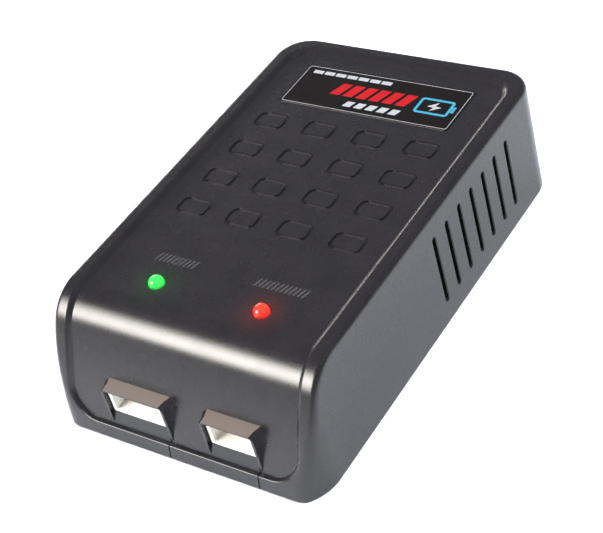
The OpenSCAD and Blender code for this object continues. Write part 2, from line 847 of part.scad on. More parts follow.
module output_capacitors() {
    r = 4;
    color([0.12, 0.10, 0.20])
        for (p = output_caps_at) {
            rod(p, 2 * r, board_top, board_top + 1.6);
            rod(p, 2 * r - 0.8, board_top + 1.5, board_top + 2.3);
            rod(p, 2 * r, board_top + 2.2, board_top + 12);
        }
    color([0.75, 0.75, 0.77]) rods(output_cap_leads, 0.6, lead_end, board_top + SMALL);
}

// ---- Chips ----

module chip_body(at, size, z) {
    color([0.08, 0.08, 0.085])
        difference() {
            block([at[0] - size[0] / 2, at[1] - size[1] / 2, z],
                  [at[0] + size[0] / 2, at[1] + size[1] / 2, z + size[2]]);
            translate([at[0] - size[0] / 2, at[1], z + size[2]])
                cylinder(d = 1.2, h = 0.6, center = true);
        }
}

module optocoupler() {
    chip_body(optocoupler_at, [4.6, 4.6, 3.4], board_top + 0.7);
    color([0.75, 0.75, 0.77])
        for (s = [-1, 1], t = [-1, 1])
            translate([optocoupler_at[0], optocoupler_at[1] + t * 1.27, 0]) {
                rod([s * 3.81, 0], 0.5, lead_end, board_top + 2.4);
                block([min(s * 2.2, s * 3.9), -0.25, board_top + 2],
                      [max(s * 2.2, s * 3.9), 0.25, board_top + 2.4]);
            }
}

module supply_controller() {
    chip_body(supply_chip_at, [9.6, 6.3, 3.3], board_top + 0.7);
    color([0.75, 0.75, 0.77])
        for (s = [-1, 1], i = [-1.5:1:1.5])
            translate([supply_chip_at[0] + i * 2.54, supply_chip_at[1], 0]) {
                rod([0, s * 3.81], 0.5, lead_end, board_top + 2.4);
                block([-0.25, min(s * 3, s * 3.9), board_top + 2],
                      [0.25, max(s * 3, s * 3.9), board_top + 2.4]);
            }
}

// Surface-mounted chip with n flat leads on each long side.
module flat_chip(at, n) {
    l = n * 1.27 - 0.2;
    chip_body(at, [l, 3.9, 1.5], board_top + 0.1);
    color([0.75, 0.75, 0.77])
        for (s = [-1, 1], i = [0:n - 1])
            translate([at[0] + (i - (n - 1) / 2) * 1.27, at[1], board_top]) {
                block([-0.2, min(s * 2, s * 3), 0], [0.2, max(s * 2, s * 3), 0.2]);
                block([-0.2, min(s * 1.9, s * 2.2), 0], [0.2, max(s * 1.9, s * 2.2), 0.8]);
            }
}

module charge_controller() { flat_chip(charge_chip_at, 7); }
module comparator_chips() { for (p = comparators_at) flat_chip(p, 4); }

module charge_transistors() {
    for (p = charge_transistors_at) {
        color([0.09, 0.09, 0.09])
            block([p[0] - 3.3, p[1] - 2.6, board_top + 0.5], [p[0] + 3.3, p[1] + 2.6, board_top + 2.3]);
        color([0.74, 0.75, 0.77]) {
            block([p[0] - 2.7, p[1] - 2.6, board_top], [p[0] + 2.7, p[1] + 3.3, board_top + 0.5]);
        }
    }
}

module balance_resistors() {
    z = board_top + 1.7;
    for (x = resistors_x) {
        color([0.30, 0.50, 0.62])
            translate([x - 3.7, resistors_y, z])
                rotate([0, 90, 0]) cylinder(d = 2.6, h = 7.4);
        color([0.75, 0.75, 0.77]) {
            translate([x - 5, resistors_y, z]) rotate([0, 90, 0]) cylinder(d = lead_d, h = 10);
            rods([[x - 5, resistors_y], [x + 5, resistors_y]], lead_d, lead_end, z);
        }
    }
}

upper_shell();
lower_shell();
top_label();
rating_label();
circuit_board();
insulation_sheet();
balance_socket_3s();
balance_pins_3s();
balance_socket_2s();
balance_pins_2s();
green_led();
red_led();
led_leads();
led_spacers();
ac_inlet();
inlet_pins();
fuse();
thermistor();
choke_core();
choke_windings();
x_capacitor();
y_capacitor();
bridge_rectifier();
input_capacitor();
transformer_core();
transformer_bobbin();
transformer_winding();
switching_transistor();
primary_heatsink();
output_diode();
output_heatsink();
heatsink_screws();
output_capacitors();
optocoupler();
supply_controller();
charge_controller();
comparator_chips();
charge_transistors();
balance_resistors();
board_screws();
case_screws();
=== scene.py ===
"""Balance battery charger: the looks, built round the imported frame."""
from math import acos, asin, cos, pi, radians, sin, sqrt

import bmesh
import bpy
import numpy as np
from mathutils import Matrix, Vector


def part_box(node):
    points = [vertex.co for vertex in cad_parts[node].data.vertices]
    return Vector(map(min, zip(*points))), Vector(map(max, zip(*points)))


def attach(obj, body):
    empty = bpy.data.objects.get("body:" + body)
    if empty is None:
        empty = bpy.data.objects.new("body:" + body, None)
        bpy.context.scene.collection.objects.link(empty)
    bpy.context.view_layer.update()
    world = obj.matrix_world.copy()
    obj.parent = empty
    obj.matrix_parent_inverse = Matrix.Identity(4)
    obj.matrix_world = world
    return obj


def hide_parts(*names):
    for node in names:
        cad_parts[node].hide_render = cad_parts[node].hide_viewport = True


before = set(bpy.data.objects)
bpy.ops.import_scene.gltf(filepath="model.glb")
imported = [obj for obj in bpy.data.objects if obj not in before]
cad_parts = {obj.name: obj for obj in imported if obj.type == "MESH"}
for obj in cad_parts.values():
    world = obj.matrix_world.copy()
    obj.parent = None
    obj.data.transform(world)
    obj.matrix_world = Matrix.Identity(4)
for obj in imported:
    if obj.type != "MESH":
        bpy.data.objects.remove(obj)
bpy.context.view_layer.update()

scene = bpy.context.scene
MM = 0.001               # the script works in millimetres and makes its meshes in metres
BODY = "root"


def box_mm(node):
    """Lowest and highest corner of a CAD node in millimetres."""
    low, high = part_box(node)
    return np.array(low) / MM, np.array(high) / MM


# ---- Driving sizes: the case, as in the CAD design ----

HALF_W, HALF_L, CASE_H = box_mm("upper_shell")[1]
SIDE_DRAFT = 0.5         # how far a side wall leans in from base to rim
SIDE_WALL = 2.0
TOP_WALL = 2.6
BROW_R = 8.5             # curve between the top and the front
FRONT_R = 97.8           # long shallow curve of the front
LEAN = radians(27)       # lean of the front where it meets the brow
TIGHT_R = 2.8            # front upright corners: tight, then wide
WIDE_R = 9.3
BACK_R = 6.5             # back upright corners
EDGE_R = 1.0             # rounding of the edge between top and walls
BASE_R = 0.35            # rounding of the bottom edge
EIGHTH = pi / 4          # an eighth of a turn, where a front corner goes from tight to wide

BROW_Z = CASE_H - BROW_R
FRONT_Z = BROW_Z + (BROW_R - FRONT_R) * sin(LEAN)
FRONT_Y = -HALF_L + sqrt(FRONT_R ** 2 - FRONT_Z ** 2)
BROW_Y = FRONT_Y - (FRONT_R - BROW_R) * cos(LEAN)
WIDE_AT = (HALF_W - WIDE_R, -HALF_L + TIGHT_R + (WIDE_R - TIGHT_R) * sin(EIGHTH))
TIGHT_AT = (WIDE_AT[0] + (WIDE_R - TIGHT_R) * cos(EIGHTH), -HALF_L + TIGHT_R)
BACK_AT = (HALF_W - BACK_R, HALF_L - BACK_R)
SIDE_SPLIT_Y = -20.0     # where the front patch of the wall's mesh ends
LEVEL_BLEND_Z = 10.0     # below this the rounded edge turns from square to level at the front

PANEL_DEPTH = 0.75
PANEL_HALF_W = HALF_W - SIDE_DRAFT - 3.1
PANEL_BACK = HALF_L - 3.2
PANEL_FRONT_Z = 3.0      # height of the strip below the panel
SIDE_SLOPE = 1.1         # width of the panel's wall along its sides, at its back and its front
BACK_SLOPE = 2.4
FRONT_SLOPE = 0.48
PANEL_R = (6.0, 5.0)     # panel corners at the front and at the back
PANEL_Z = CASE_H - PANEL_DEPTH
RING_PITCH = (10.98, 8.83)
RING_LINE = (3.0, 1.9)   # half size of the middle line of a ring's groove
RING_R = 1.05
RING_DEPTH = 0.35
RING_HALF = 0.33         # half width of a ring's groove
RING_FIELD_Y = 6.1
RING_STEPS = (-1.5, -0.5, 0.5, 1.5)

VENT_W = 1.1
VENT_PITCH = 4.64
VENT_Z = (4.54, 19.24)
VENT_FIRST_Y = 2.1
VENT_COUNT = 7
VENT_FLARE = 0.16

SHELL_GAP = 0.15
PLATE_T = 1.6
LIP_TOP = 3.2
POST_R = 3.4             # posts of the bottom cover and bosses of the case, round the case screws
POST_TOP = 3.4
BOSS_R = 3.0
BOSS_BORE_R = 1.25
BOSS_BORE_TOP = 12.0
BOARD_POST_R = 2.3
BOARD_POST_TOP = 3.6
TONGUE_RISE = 0.4        # top of the front tongues above the board
TONGUE_DROP = 0.1        # top of the back one below it
PORT_BACK_Y = -36.0
HOOD_FACE_Y = -43.45
HOOD_BACK_Y = -39.5      # the hoods and the tongues below them end in front of this
HOOD_WALL = 0.45
HOOD_TOP = 0.4           # wall above the opening at the face
HOOD_CHAMFER = 0.7
HOOD_CORNER = 0.12
HOOD_LEVELS = 8
HOOD_REACH = 3.0         # how far a hood runs into the case behind its front
HOOD_FLARE = ((0.5, 0.2), (0.0, 0.9))    # sides: share of the depth left, bulge
CASE_SCREWS = [(x, y) for x in (-22.4, 22.4) for y in (-32.5, 37.5)]
BOARD_SCREWS = [(-22.3, 28.5), (22.3, 29.5), (-22.3, -14.5), (22.3, -14.5)]
PAST = 1.0               # how far a cutter runs past what it cuts

# ---- Driving sizes: what the case holds ----

BOARD_TOP = box_mm("circuit_board")[1][2]
SOCKETS = {"3s": box_mm("balance_socket_3s"), "2s": box_mm("balance_socket_2s")}
CONTACTS = {"3s": 4, "2s": 3}
CONTACT_PITCH = 2.5
PIN_SIDE = 0.64
PIN_Z = BOARD_TOP + 2.9
SOCKET_WALL = 0.8
SOCKET_DEPTH = 7.7
SLIT_W = 1.2             # polarising slots: width, depth, and distance of the middle from the end
SLIT_DEPTH = 3.4
SLIT_INSET = 2.4

LEDS = {"green": box_mm("green_led"), "red": box_mm("red_led")}
LENS_R = 1.5
LENS_HOLE_R = 1.6
LENS_HOLE_RIM = 0.15
MARK_COUNTS = {"green": 10, "red": 12}   # strokes behind the lights
MARK_W = 0.42
MARK_H = 2.0
MARK_LEAN = 0.3
MARK_PITCH = 0.88
MARK_AHEAD = 5.0

PRINT_RISE = 0.012       # how far printing stands proud
# rows of bars on the top label: count, place of the first, pitch, width and height, lean, ink
LABEL_ROWS = ((7, (2.0, 9.9), 2.6, (2.2, 1.0), 0.0, "white"),
              (6, (9.0, 4.6), 2.9, (2.1, 3.6), 0.35, "red"),
              (5, (13.5, 1.7), 2.5, (1.7, 1.6), 0.35, "white"))
RATING_BARS = (26, 22, 30, 18, 24)       # lengths of the rating label's bars

INLET = box_mm("ac_inlet")
INLET_Z = BOARD_TOP + 6.1
INLET_PINS_X = (-4.3, 4.3)
INLET_PIN_R = 1.18
INLET_LEG_R = 1.0
LOBE_R = 4.2
LOBE_PITCH = 6.8
RECESS = 12.0
RECESS_FLARE = 0.35
SCREW_HEAD_R = 2.4
SCREW_HEAD_H = 1.5
SCREW_R = 1.2
SCREW_TURNS = 16

# ---- Colours, as linear red, green and blue, and finishes ----

LABEL_INKS = {"black": ((0.002, 0.0016, 0.0016), (0.0032, 0.0028, 0.0028)),
              "white": ((0.143, 0.1485, 0.1595), (0.11, 0.1155, 0.1265)),
              "red": ((0.15, 0.0042, 0.0054), (0.12, 0.003, 0.0042)),
              "teal": ((0.0124, 0.0806, 0.124), (0.0186, 0.1116, 0.1612)),
              "grey": ((0.096, 0.096, 0.102), (0.144, 0.144, 0.15)),
              "silver": ((0.42, 0.43, 0.45), (0.50, 0.51, 0.53))}
LENS_COLOURS = {"green": ((0.010, 0.26, 0.024), (0.022, 0.34, 0.045)),
                "red": ((0.42, 0.010, 0.006), (0.50, 0.020, 0.010))}
LENS_GLOW = 0.38
# painted glow of the indicators on the case plastic round them, as emission in their colours
PAINTED_LED_GLOW = {"green": 0.15, "red": 0.22}
GLOW_REACH = (0.5 * MM, 8.5 * MM)        # the cast glow fades between these distances
GLOW_FALL = 2.6
# hood tops: a rougher finish, and a paler colour that is a painted sheen of the light falling on them
FROST_AND_PAINTED_SHEEN = {"Base Color": (0.048, 0.038, 0.034, 1), "Roughness": (0.6, 0.6, 0.6, 1)}

# looks of the outer pieces: material, two colours, range of roughness, and the grain's stretch
CASE_PLASTIC = ("case_plastic", (0.0045, 0.0042, 0.005), (0.0065, 0.006, 0.007), (0.25, 0.30))
BASE_PLASTIC = ("base_plastic", (0.005, 0.0053, 0.0068), (0.007, 0.0073, 0.0092), (0.27, 0.32))
INLET_PLASTIC = ("inlet_plastic", (0.012, 0.012, 0.013), (0.017, 0.017, 0.018), (0.32, 0.42))
TINNED = ("tinned_metal", (0.72, 0.62, 0.36), (0.62, 0.52, 0.30), (0.22, 0.36))
BRASS = ("plated_brass", (0.66, 0.63, 0.55), (0.58, 0.54, 0.45), (0.18, 0.32), (1, 0.1, 1))
BLACK_STEEL = ("blackened_steel", (0.10, 0.10, 0.11), (0.16, 0.16, 0.17), (0.30, 0.45))

# inner CAD nodes, material, two colours, roughness, and then for coats the drift, grain and
# depth, and for metals the stretch of the grain
INNER_COATS = (
    ("led_spacers bridge_rectifier transformer_bobbin switching_transistor output_diode optocoupler"
     " supply_controller charge_controller comparator_chips charge_transistors",
     "epoxy_body", (0.02, 0.02, 0.022), (0.035, 0.035, 0.037), (0.45, 0.6), 1.5),
    ("circuit_board", "solder_mask", (0.015, 0.14, 0.05), (0.02, 0.20, 0.075), (0.2, 0.35), 1.2),
    ("insulation_sheet", "fish_paper_sheet", (0.62, 0.54, 0.30), (0.70, 0.62, 0.38), (0.6, 0.75),
     6.0, 0.4, 0.02),
    ("fuse", "fuse_plastic", (0.05, 0.035, 0.03), (0.08, 0.055, 0.045), (0.3, 0.45), 1.5),
    ("thermistor", "thermistor_coat", (0.02, 0.09, 0.04), (0.035, 0.14, 0.06), (0.25, 0.4), 1.5),
    ("choke_core", "ferrite_body", (0.05, 0.05, 0.055), (0.09, 0.09, 0.095), (0.4, 0.6),
     1.0, 0.3, 0.02),
    ("x_capacitor", "film_case", (0.68, 0.46, 0.04), (0.78, 0.56, 0.07), (0.3, 0.45), 2.0),
    ("y_capacitor", "disc_coat", (0.03, 0.11, 0.42), (0.05, 0.16, 0.55), (0.25, 0.4), 1.5),
    ("input_capacitor", "sleeve_film", (0.02, 0.025, 0.04), (0.03, 0.04, 0.065), (0.18, 0.3), 2.0),
    ("transformer_core", "core_ferrite", (0.04, 0.04, 0.045), (0.07, 0.07, 0.075), (0.45, 0.65),
     6.0, 0.3, 0.02),
    ("transformer_winding", "yellow_tape", (0.70, 0.48, 0.05), (0.60, 0.40, 0.04), (0.2, 0.35),
     6.0, 0.8, 0.03),
    ("output_capacitors", "output_sleeve", (0.025, 0.02, 0.06), (0.04, 0.03, 0.09), (0.18, 0.3), 2.0),
    ("balance_resistors", "resistor_coat", (0.08, 0.22, 0.32), (0.12, 0.30, 0.42), (0.3, 0.45), 1.0))
ALUMINIUM = ((0.70, 0.71, 0.73), (0.60, 0.61, 0.63), (0.3, 0.45), (1, 0.08, 1))
INNER_METALS = (
    ("led_leads", "solder_tin", (0.66, 0.67, 0.68), (0.55, 0.56, 0.58), (0.25, 0.4)),
    ("heatsink_screws board_screws", "zinc_steel", (0.60, 0.60, 0.62), (0.50, 0.50, 0.53), (0.25, 0.42)),
    ("choke_windings", "enamelled_copper", (0.60, 0.22, 0.08), (0.45, 0.15, 0.05), (0.2, 0.3), (1, 1, 0.1)),
    ("primary_heatsink", "rolled_aluminium", *ALUMINIUM),
    ("output_heatsink", "output_aluminium", *ALUMINIUM))

# ---- Camera, floor and lights ----

CAMERA_AT = (144.08, -159.87, 187.33)
CAMERA_AIM = (2.907, -5.189, 12.0)
CAMERA_ROLL = -16.24     # degrees
LENS_MM = 90.39
SKY_STRENGTH = ((0.15, 0.55), 0.5, 0.14) # between two heights it falls from the first to the second
FLOOR_TINTS = ((0.36, 0.375, 0.41), (0.35, 0.365, 0.40))
# area lights in metres and watts: name, place, aim, size, power, colour, spread in degrees, and
# whether reflections show them. The washes whiten the floor without streaks on the plastic
LIGHTS = (("key", (-0.355, -0.49, 0.36), (0, 0, 0.01), (0.46, 0.36), 1.5, (1.0, 0.95, 0.88), 55, True),
          ("low_left", (-0.46, 0.38, 0.10), (0, 0, 0.02), (0.30, 0.06), 0.6, (1.0, 0.94, 0.86), 180, True),
          ("wash_right", (0.34, 0.04, 0.5), (0.22, 0.02, 0), (0.45, 0.45), 18.0, (1, 1, 1), 180, False),
          ("wash_left", (-0.40, 0.04, 0.5), (-0.22, 0, 0), (0.45, 0.45), 6.5, (1, 1, 1), 180, False))


def draft(z):
    """How far a side wall has leaned in at a height."""
    return SIDE_DRAFT * z / CASE_H


def middle(box):
    return (box[0] + box[1]) / 2


# ---- Mesh helpers, in millimetres until finished() ----

def new_object(name, data):
    made = bpy.data.objects.new(name, data)
    scene.collection.objects.link(made)
    return made


def from_bmesh(name, bm):
    """Closed mesh object from a bmesh, with its normals pointing out."""
    bmesh.ops.recalc_face_normals(bm, faces=bm.faces)
    mesh = bpy.data.meshes.new(name)
    bm.to_mesh(mesh)
    bm.free()
    return new_object(name, mesh)


def placed(a, b, height, axis):
    """Point of a flat outline at a height along Z or Y."""
    return (a, b, height) if axis == "Z" else (a, height, b)


def prism(name, outline, low, high, axis="Z", bevel=0.0, segments=2):
    """Solid of an outline between two heights along an axis. The bevel rounds its sharp edges."""
    bm = bmesh.new()
    close_rings(bm, [[bm.verts.new(placed(a, b, height, axis)) for a, b in outline]
                     for height in (low, high)])
    if bevel:
        edges = [e for e in bm.edges if e.calc_face_angle(0.0) > radians(30)]
        bmesh.ops.bevel(bm, geom=edges, offset=bevel, segments=segments, affect="EDGES",
                        profile=0.5, clamp_overlap=True)
    return from_bmesh(name, bm)


def block(name, x0, x1, y0, y1, low, high, axis="Z", **bevel):
    return prism(name, rectangle(x0, x1, y0, y1), low, high, axis, **bevel)


def bridge(bm, one, two):
    """Faces between two closed rows of points."""
    for i in range(len(one)):
        after = (i + 1) % len(one)
        bm.faces.new((one[i], one[after], two[after], two[i]))


def close_rings(bm, rings):
    """Faces between each ring and the next, and one over each end."""
    for one, two in zip(rings, rings[1:]):
        bridge(bm, one, two)
    bm.faces.new(rings[0])
    bm.faces.new(rings[-1])
    bmesh.ops.recalc_face_normals(bm, faces=bm.faces)


def loft(name, rings):
    """Closed solid through rings of points, all with the same number of points."""
    bm = bmesh.new()
    close_rings(bm, [[bm.verts.new(p) for p in ring] for ring in rings])
    return from_bmesh(name, bm)


def band(name, loops):
    """Ring-shaped solid through loops of points, the last joined to the first."""
    bm = bmesh.new()
    rows = [[bm.verts.new(p) for p in loop] for loop in loops]
    for one, two in zip(rows, rows[1:] + rows[:1]):
        bridge(bm, one, two)
    return from_bmesh(name, bm)


def lathe(name, profile, at=(0, 0), axis="Z", sides=48):
    """Solid turned about a line along an axis through at, from (radius, height) pairs."""
    turns = [2 * pi * k / sides for k in range(sides)]
    return loft(name, [[placed(at[0] + radius * cos(a), at[1] + radius * sin(a), height, axis)
                        for a in turns] for radius, height in profile])


def rectangle(x0, x1, y0, y1):
    return [(x0, y0), (x1, y0), (x1, y1), (x0, y1)]


def round_rectangle(half_x, half_y, radius, at=(0, 0), steps=6):
    """Outline of a rectangle with round corners."""
    points = []
    for corner, (sx, sy) in enumerate(((1, 1), (-1, 1), (-1, -1), (1, -1))):
        for k in range(steps + 1):
            a = pi / 2 * (corner + k / steps)
            points.append((at[0] + sx * (half_x - radius) + radius * cos(a),
                           at[1] + sy * (half_y - radius) + radius * sin(a)))
    return points


def bake(thing):
    """Applies the modifiers of an object."""
    graph = bpy.context.evaluated_depsgraph_get()
    mesh = bpy.data.meshes.new_from_object(thing.evaluated_get(graph))
    old = thing.data
    thing.modifiers.clear()
    thing.data = mesh
    bpy.data.meshes.remove(old)


def combine(target, operation, tool):
    """Boolean of two closed solids. The tool is used up."""
    modifier = target.modifiers.new(operation, "BOOLEAN")
    modifier.operation = operation
    modifier.solver = "EXACT"
    modifier.object = tool
    bake(target)
    remove(tool)
    return target


def cut(target, tool):
    return combine(target, "DIFFERENCE", tool)


def add(target, tool):
    return combine(target, "UNION", tool)


def remove(thing):
    mesh = thing.data
    bpy.data.objects.remove(thing)
    bpy.data.meshes.remove(mesh)


def join(name, things):
    """One object from several, each keeping its material."""
    bm = bmesh.new()
    materials = []
    for thing in things:
        start = len(bm.faces)
        bm.from_mesh(thing.data)
        bm.faces.ensure_lookup_table()
        own = thing.data.materials[0] if thing.data.materials else None
        if own not in materials:
            materials.append(own)
        for face in bm.faces[start:]:
            face.material_index = materials.index(own)
        remove(thing)
    mesh = bpy.data.meshes.new(name)
    bm.to_mesh(mesh)
    bm.free()
    for material in materials:
        if material:
            mesh.materials.append(material)
    return new_object(name, mesh)


def finished(thing, material=None, replaces=(), sharp=32):
    """Scales a piece to metres, shades it, and hands it to the frame."""
    mesh = thing.data
    mesh.validate()
    mesh.transform(Matrix.Scale(MM, 4))
    mesh.shade_smooth()
    mesh.set_sharp_from_angle(angle=radians(sharp))
    weighted = thing.modifiers.new("normals", "WEIGHTED_NORMAL")
    weighted.keep_sharp = True
    weighted.weight = 80
    bake(thing)
    if material:
        thing.data.materials.clear()
        thing.data.materials.append(material)
    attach(thing, BODY)
    if replaces:
        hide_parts(*replaces)


# ---- The form of the case ----

def smooth(t):
    t = np.clip(t, 0.0, 1.0)
    return t * t * (3 - 2 * t)


class CaseForm:
    """Surface of the case, moved in by `top` at the top and front and by `side` elsewhere.

    v runs along the side profile: it is y on the flat top, and goes on down the front."""

    def __init__(self, top=0.0, side=0.0, edge=EDGE_R, base_z=BASE_R):
        self.front_r = FRONT_R - top
        self.brow_r = BROW_R - top
        self.height = CASE_H - top
        self.tight_r = TIGHT_R - side
        self.wide_r = WIDE_R - side
        self.back_r = BACK_R - side
        self.half_w = HALF_W - side
        self.half_l = HALF_L - side
        self.edge = edge
        self.base_z = base_z
        self.corner_len = EIGHTH * (self.tight_r + self.wide_r)
        self.brow_len = self.brow_r * (pi / 2 - LEAN)
        self.v_base = self.v_at_height(base_z)
        self.v_split = BROW_Y - self.brow_len / 2

    def v_at_height(self, z):
        """v of the point of the front arc at a height."""
        angle = asin((z - FRONT_Z) / self.front_r)
        return BROW_Y - self.brow_len - self.front_r * (LEAN - angle)

    def profile_point(self, v):
        """y, z and the outward normal's y and z at v."""
        ahead = BROW_Y - v
        on_front = ahead > self.brow_len
        angle = np.where(on_front, LEAN - (ahead - self.brow_len) / self.front_r,
                         pi / 2 - np.maximum(ahead, 0) / self.brow_r)
        ny, nz = -np.cos(angle), np.sin(angle)
        y = np.where(on_front, FRONT_Y + self.front_r * ny, BROW_Y + self.brow_r * ny)
        z = np.where(on_front, FRONT_Z + self.front_r * nz, BROW_Z + self.brow_r * nz)
        return y + np.maximum(-ahead, 0), z, ny, nz

    def profile_distance(self, y, z):
        flat = z - self.height
        brow = np.hypot(y - BROW_Y, z - BROW_Z) - self.brow_r
        front = np.hypot(y - FRONT_Y, z - FRONT_Z) - self.front_r
        below = (y - BROW_Y) * sin(LEAN) + (z - BROW_Z) * cos(LEAN) < 0
        return np.where(below, front, np.where(y < BROW_Y, brow, flat))

    def outline_distance(self, x, y, z):
        u = np.abs(x) + draft(z)
        distance = np.maximum(np.maximum(u - self.half_w, y - self.half_l), -self.half_l - y)
        back = np.hypot(u - BACK_AT[0], y - BACK_AT[1]) - self.back_r
        distance = np.where((u > BACK_AT[0]) & (y > BACK_AT[1]), back, distance)
        ahead, out = WIDE_AT[1] - y, u - WIDE_AT[0]
        wide = np.hypot(out, ahead) - self.wide_r
        tight = np.hypot(u - TIGHT_AT[0], y - TIGHT_AT[1]) - self.tight_r
        distance = np.where((ahead > 0) & (out > ahead), wide, distance)
        return np.where((ahead > 0) & (out <= ahead) & (u > TIGHT_AT[0]), tight, distance)

    def distance(self, p):
        """Signed distance to the case, with its edges rounded."""
        a = self.profile_distance(p[..., 1], p[..., 2])
        b = self.outline_distance(p[..., 0], p[..., 1], p[..., 2])
        rounded = np.hypot(np.maximum(a + self.edge, 0), np.maximum(b + self.edge, 0))
        return np.minimum(np.maximum(a, b), -self.edge) + rounded

    def gradient(self, p):
        step = 1e-4
        return np.stack([(self.distance(p + d) - self.distance(p - d)) / (2 * step)
                         for d in np.eye(3) * step], axis=-1)

    def settle(self, p, free):
        """Moves points onto the surface, along the axes that free lets them."""
        for _ in range(10):
            g = self.gradient(p) * free
            p = p - (self.distance(p) / np.maximum((g * g).sum(-1), 1e-6))[..., None] * g
        return p

    def half_width(self, y, inset):
        """Half width of the outline moved in by inset, at y, before the draft."""
        wide_r = self.wide_r - inset
        wide, tight, back = [at[0] + np.sqrt(np.maximum(radius ** 2 - (y - at[1]) ** 2, 0))
                             for at, radius in ((WIDE_AT, wide_r), (TIGHT_AT, self.tight_r - inset),
                                                (BACK_AT, self.back_r - inset))]
        width = np.where(y < WIDE_AT[1], wide, self.half_w - inset)
        width = np.where(y < WIDE_AT[1] - wide_r * sin(EIGHTH), tight, width)
        return np.where(y > BACK_AT[1], back, width)

    def outline_length(self, y):
        """Distance along the outline from the front, round the corner, to y on the side."""
        tight = np.arccos(np.clip((TIGHT_AT[1] - y) / self.tight_r, -1, 1))
        wide = np.arccos(np.clip((WIDE_AT[1] - y) / self.wide_r, -1, 1)) - EIGHTH
        return np.where(y < WIDE_AT[1] - self.wide_r * sin(EIGHTH), self.tight_r * tight,
                        np.where(y < WIDE_AT[1], EIGHTH * self.tight_r + self.wide_r * wide,
                                 self.corner_len + y - WIDE_AT[1]))

    def outline_point(self, t):
        """x before the draft, and y, at a distance t along the outline from the front."""
        a = t / self.tight_r
        b = EIGHTH + (t - EIGHTH * self.tight_r) / self.wide_r
        in_tight, in_corner = a < EIGHTH, t < self.corner_len
        x = np.where(in_corner, WIDE_AT[0] + self.wide_r * np.sin(b), self.half_w)
        y = np.where(in_corner, WIDE_AT[1] - self.wide_r * np.cos(b), WIDE_AT[1] + t - self.corner_len)
        return (np.where(in_tight, TIGHT_AT[0] + self.tight_r * np.sin(a), x),
                np.where(in_tight, TIGHT_AT[1] - self.tight_r * np.cos(a), y))


def grid_lines(stops):
    """Grid lines through (position, spacing after it) stops."""
    lines = []
    for (start, step), (end, _) in zip(stops, stops[1:]):
        lines.append(np.linspace(start, end, max(2, round((end - start) / step) + 1))[:-1])
    return np.concatenate(lines + [[stops[-1][0]]])


def fractions(points):
    """How far along each point of a line lies, from 0 to 1."""
    steps = np.linalg.norm(np.diff(points, axis=0), axis=1)
    along = np.concatenate([[0.0], np.cumsum(steps)])
    return along / along[-1]


def spread(values, shape):
    """One value for each row, spread over a grid."""
    return np.broadcast_to(values[:, None], shape)


def wrap_patch(form, rows, columns, fixed_x, relief):
    """Top and front: a grid of rows (v) by columns (x). Columns past fixed_x follow the edge."""
    y, z, ny, nz = form.profile_point(rows)
    half = form.half_width(y, form.edge) - draft(z)
    outer = (columns - fixed_x) / (columns[-1] - fixed_x)
    x = np.where(columns > fixed_x, fixed_x + outer * (half[:, None] - fixed_x), columns)
    normal = np.stack([np.zeros(x.shape), spread(ny, x.shape), spread(nz, x.shape)], -1)
    base = np.stack([x, spread(y, x.shape), spread(z, x.shape)], -1)
    base = form.settle(base, free_rows(len(rows))[:, None])
    height = relief(x, spread(rows, x.shape)) if relief else np.zeros(x.shape)
    return base, base + normal * height[..., None], normal


def fillet_patch(form, base, normal, steps):
    """The rounded edge: from the outline of the top down to the walls."""
    rim = np.concatenate([base[:, -1], base[-1, -2::-1]])
    rim_normal = np.concatenate([normal[:, -1], normal[-1, -2::-1]])
    square = rim + form.edge * (side_directions(rim) - rim_normal)
    level = rim.copy()
    level[:, 1] = rim[:, 1] + form.edge / np.maximum(-rim_normal[:, 1], 0.3)
    level[:, 0] = form.half_width(level[:, 1], 0.0) - draft(rim[:, 2])
    blend = np.where(rim[:, 1] < WIDE_AT[1], smooth(rim[:, 2] / LEVEL_BLEND_Z), 1.0)[:, None]
    low = form.settle(blend * square + (1 - blend) * level, free_rows(len(rim)))
    t = np.linspace(0, 1, steps + 1)[None, :, None]
    strip = rim[:, None] * (1 - t) + low[:, None] * t
    fillet = form.settle(strip, free_rows(len(rim))[:, None])
    fillet[:, 0] = rim
    fillet[:, -1] = low
    return fillet


def side_directions(rim):
    """Level direction out of the case at each point of the top's outline."""
    side = np.stack([(rim[:, 0] > TIGHT_AT[0]) * 1.0, (rim[:, 0] <= BACK_AT[0]) * 1.0,
                     np.zeros(len(rim))], -1)
    at_back = (rim[:, 1] > BACK_AT[1]) & (rim[:, 0] > BACK_AT[0] - SIDE_DRAFT - 0.01)
    ahead = WIDE_AT[1] - rim[:, 1]
    in_wide = (rim[:, 0] + SIDE_DRAFT - WIDE_AT[0] > ahead)[:, None]
    for corner, away in ((at_back, rim[:, :2] + [SIDE_DRAFT, 0] - BACK_AT),
                         (ahead > 0, rim[:, :2] - np.where(in_wide, WIDE_AT, TIGHT_AT))):
        side[corner, :2] = (away / np.linalg.norm(away, axis=1)[:, None])[corner]
    return side


def free_rows(count):
    """Every point may move, but the first keeps its height."""
    free = np.ones((count, 3))
    free[0, 2] = 0
    return free


def unrolled(form, points):
    """Distance along the outline, and height, of points on the walls."""
    return np.stack([form.outline_length(points[:, 1]), points[:, 2]], -1)


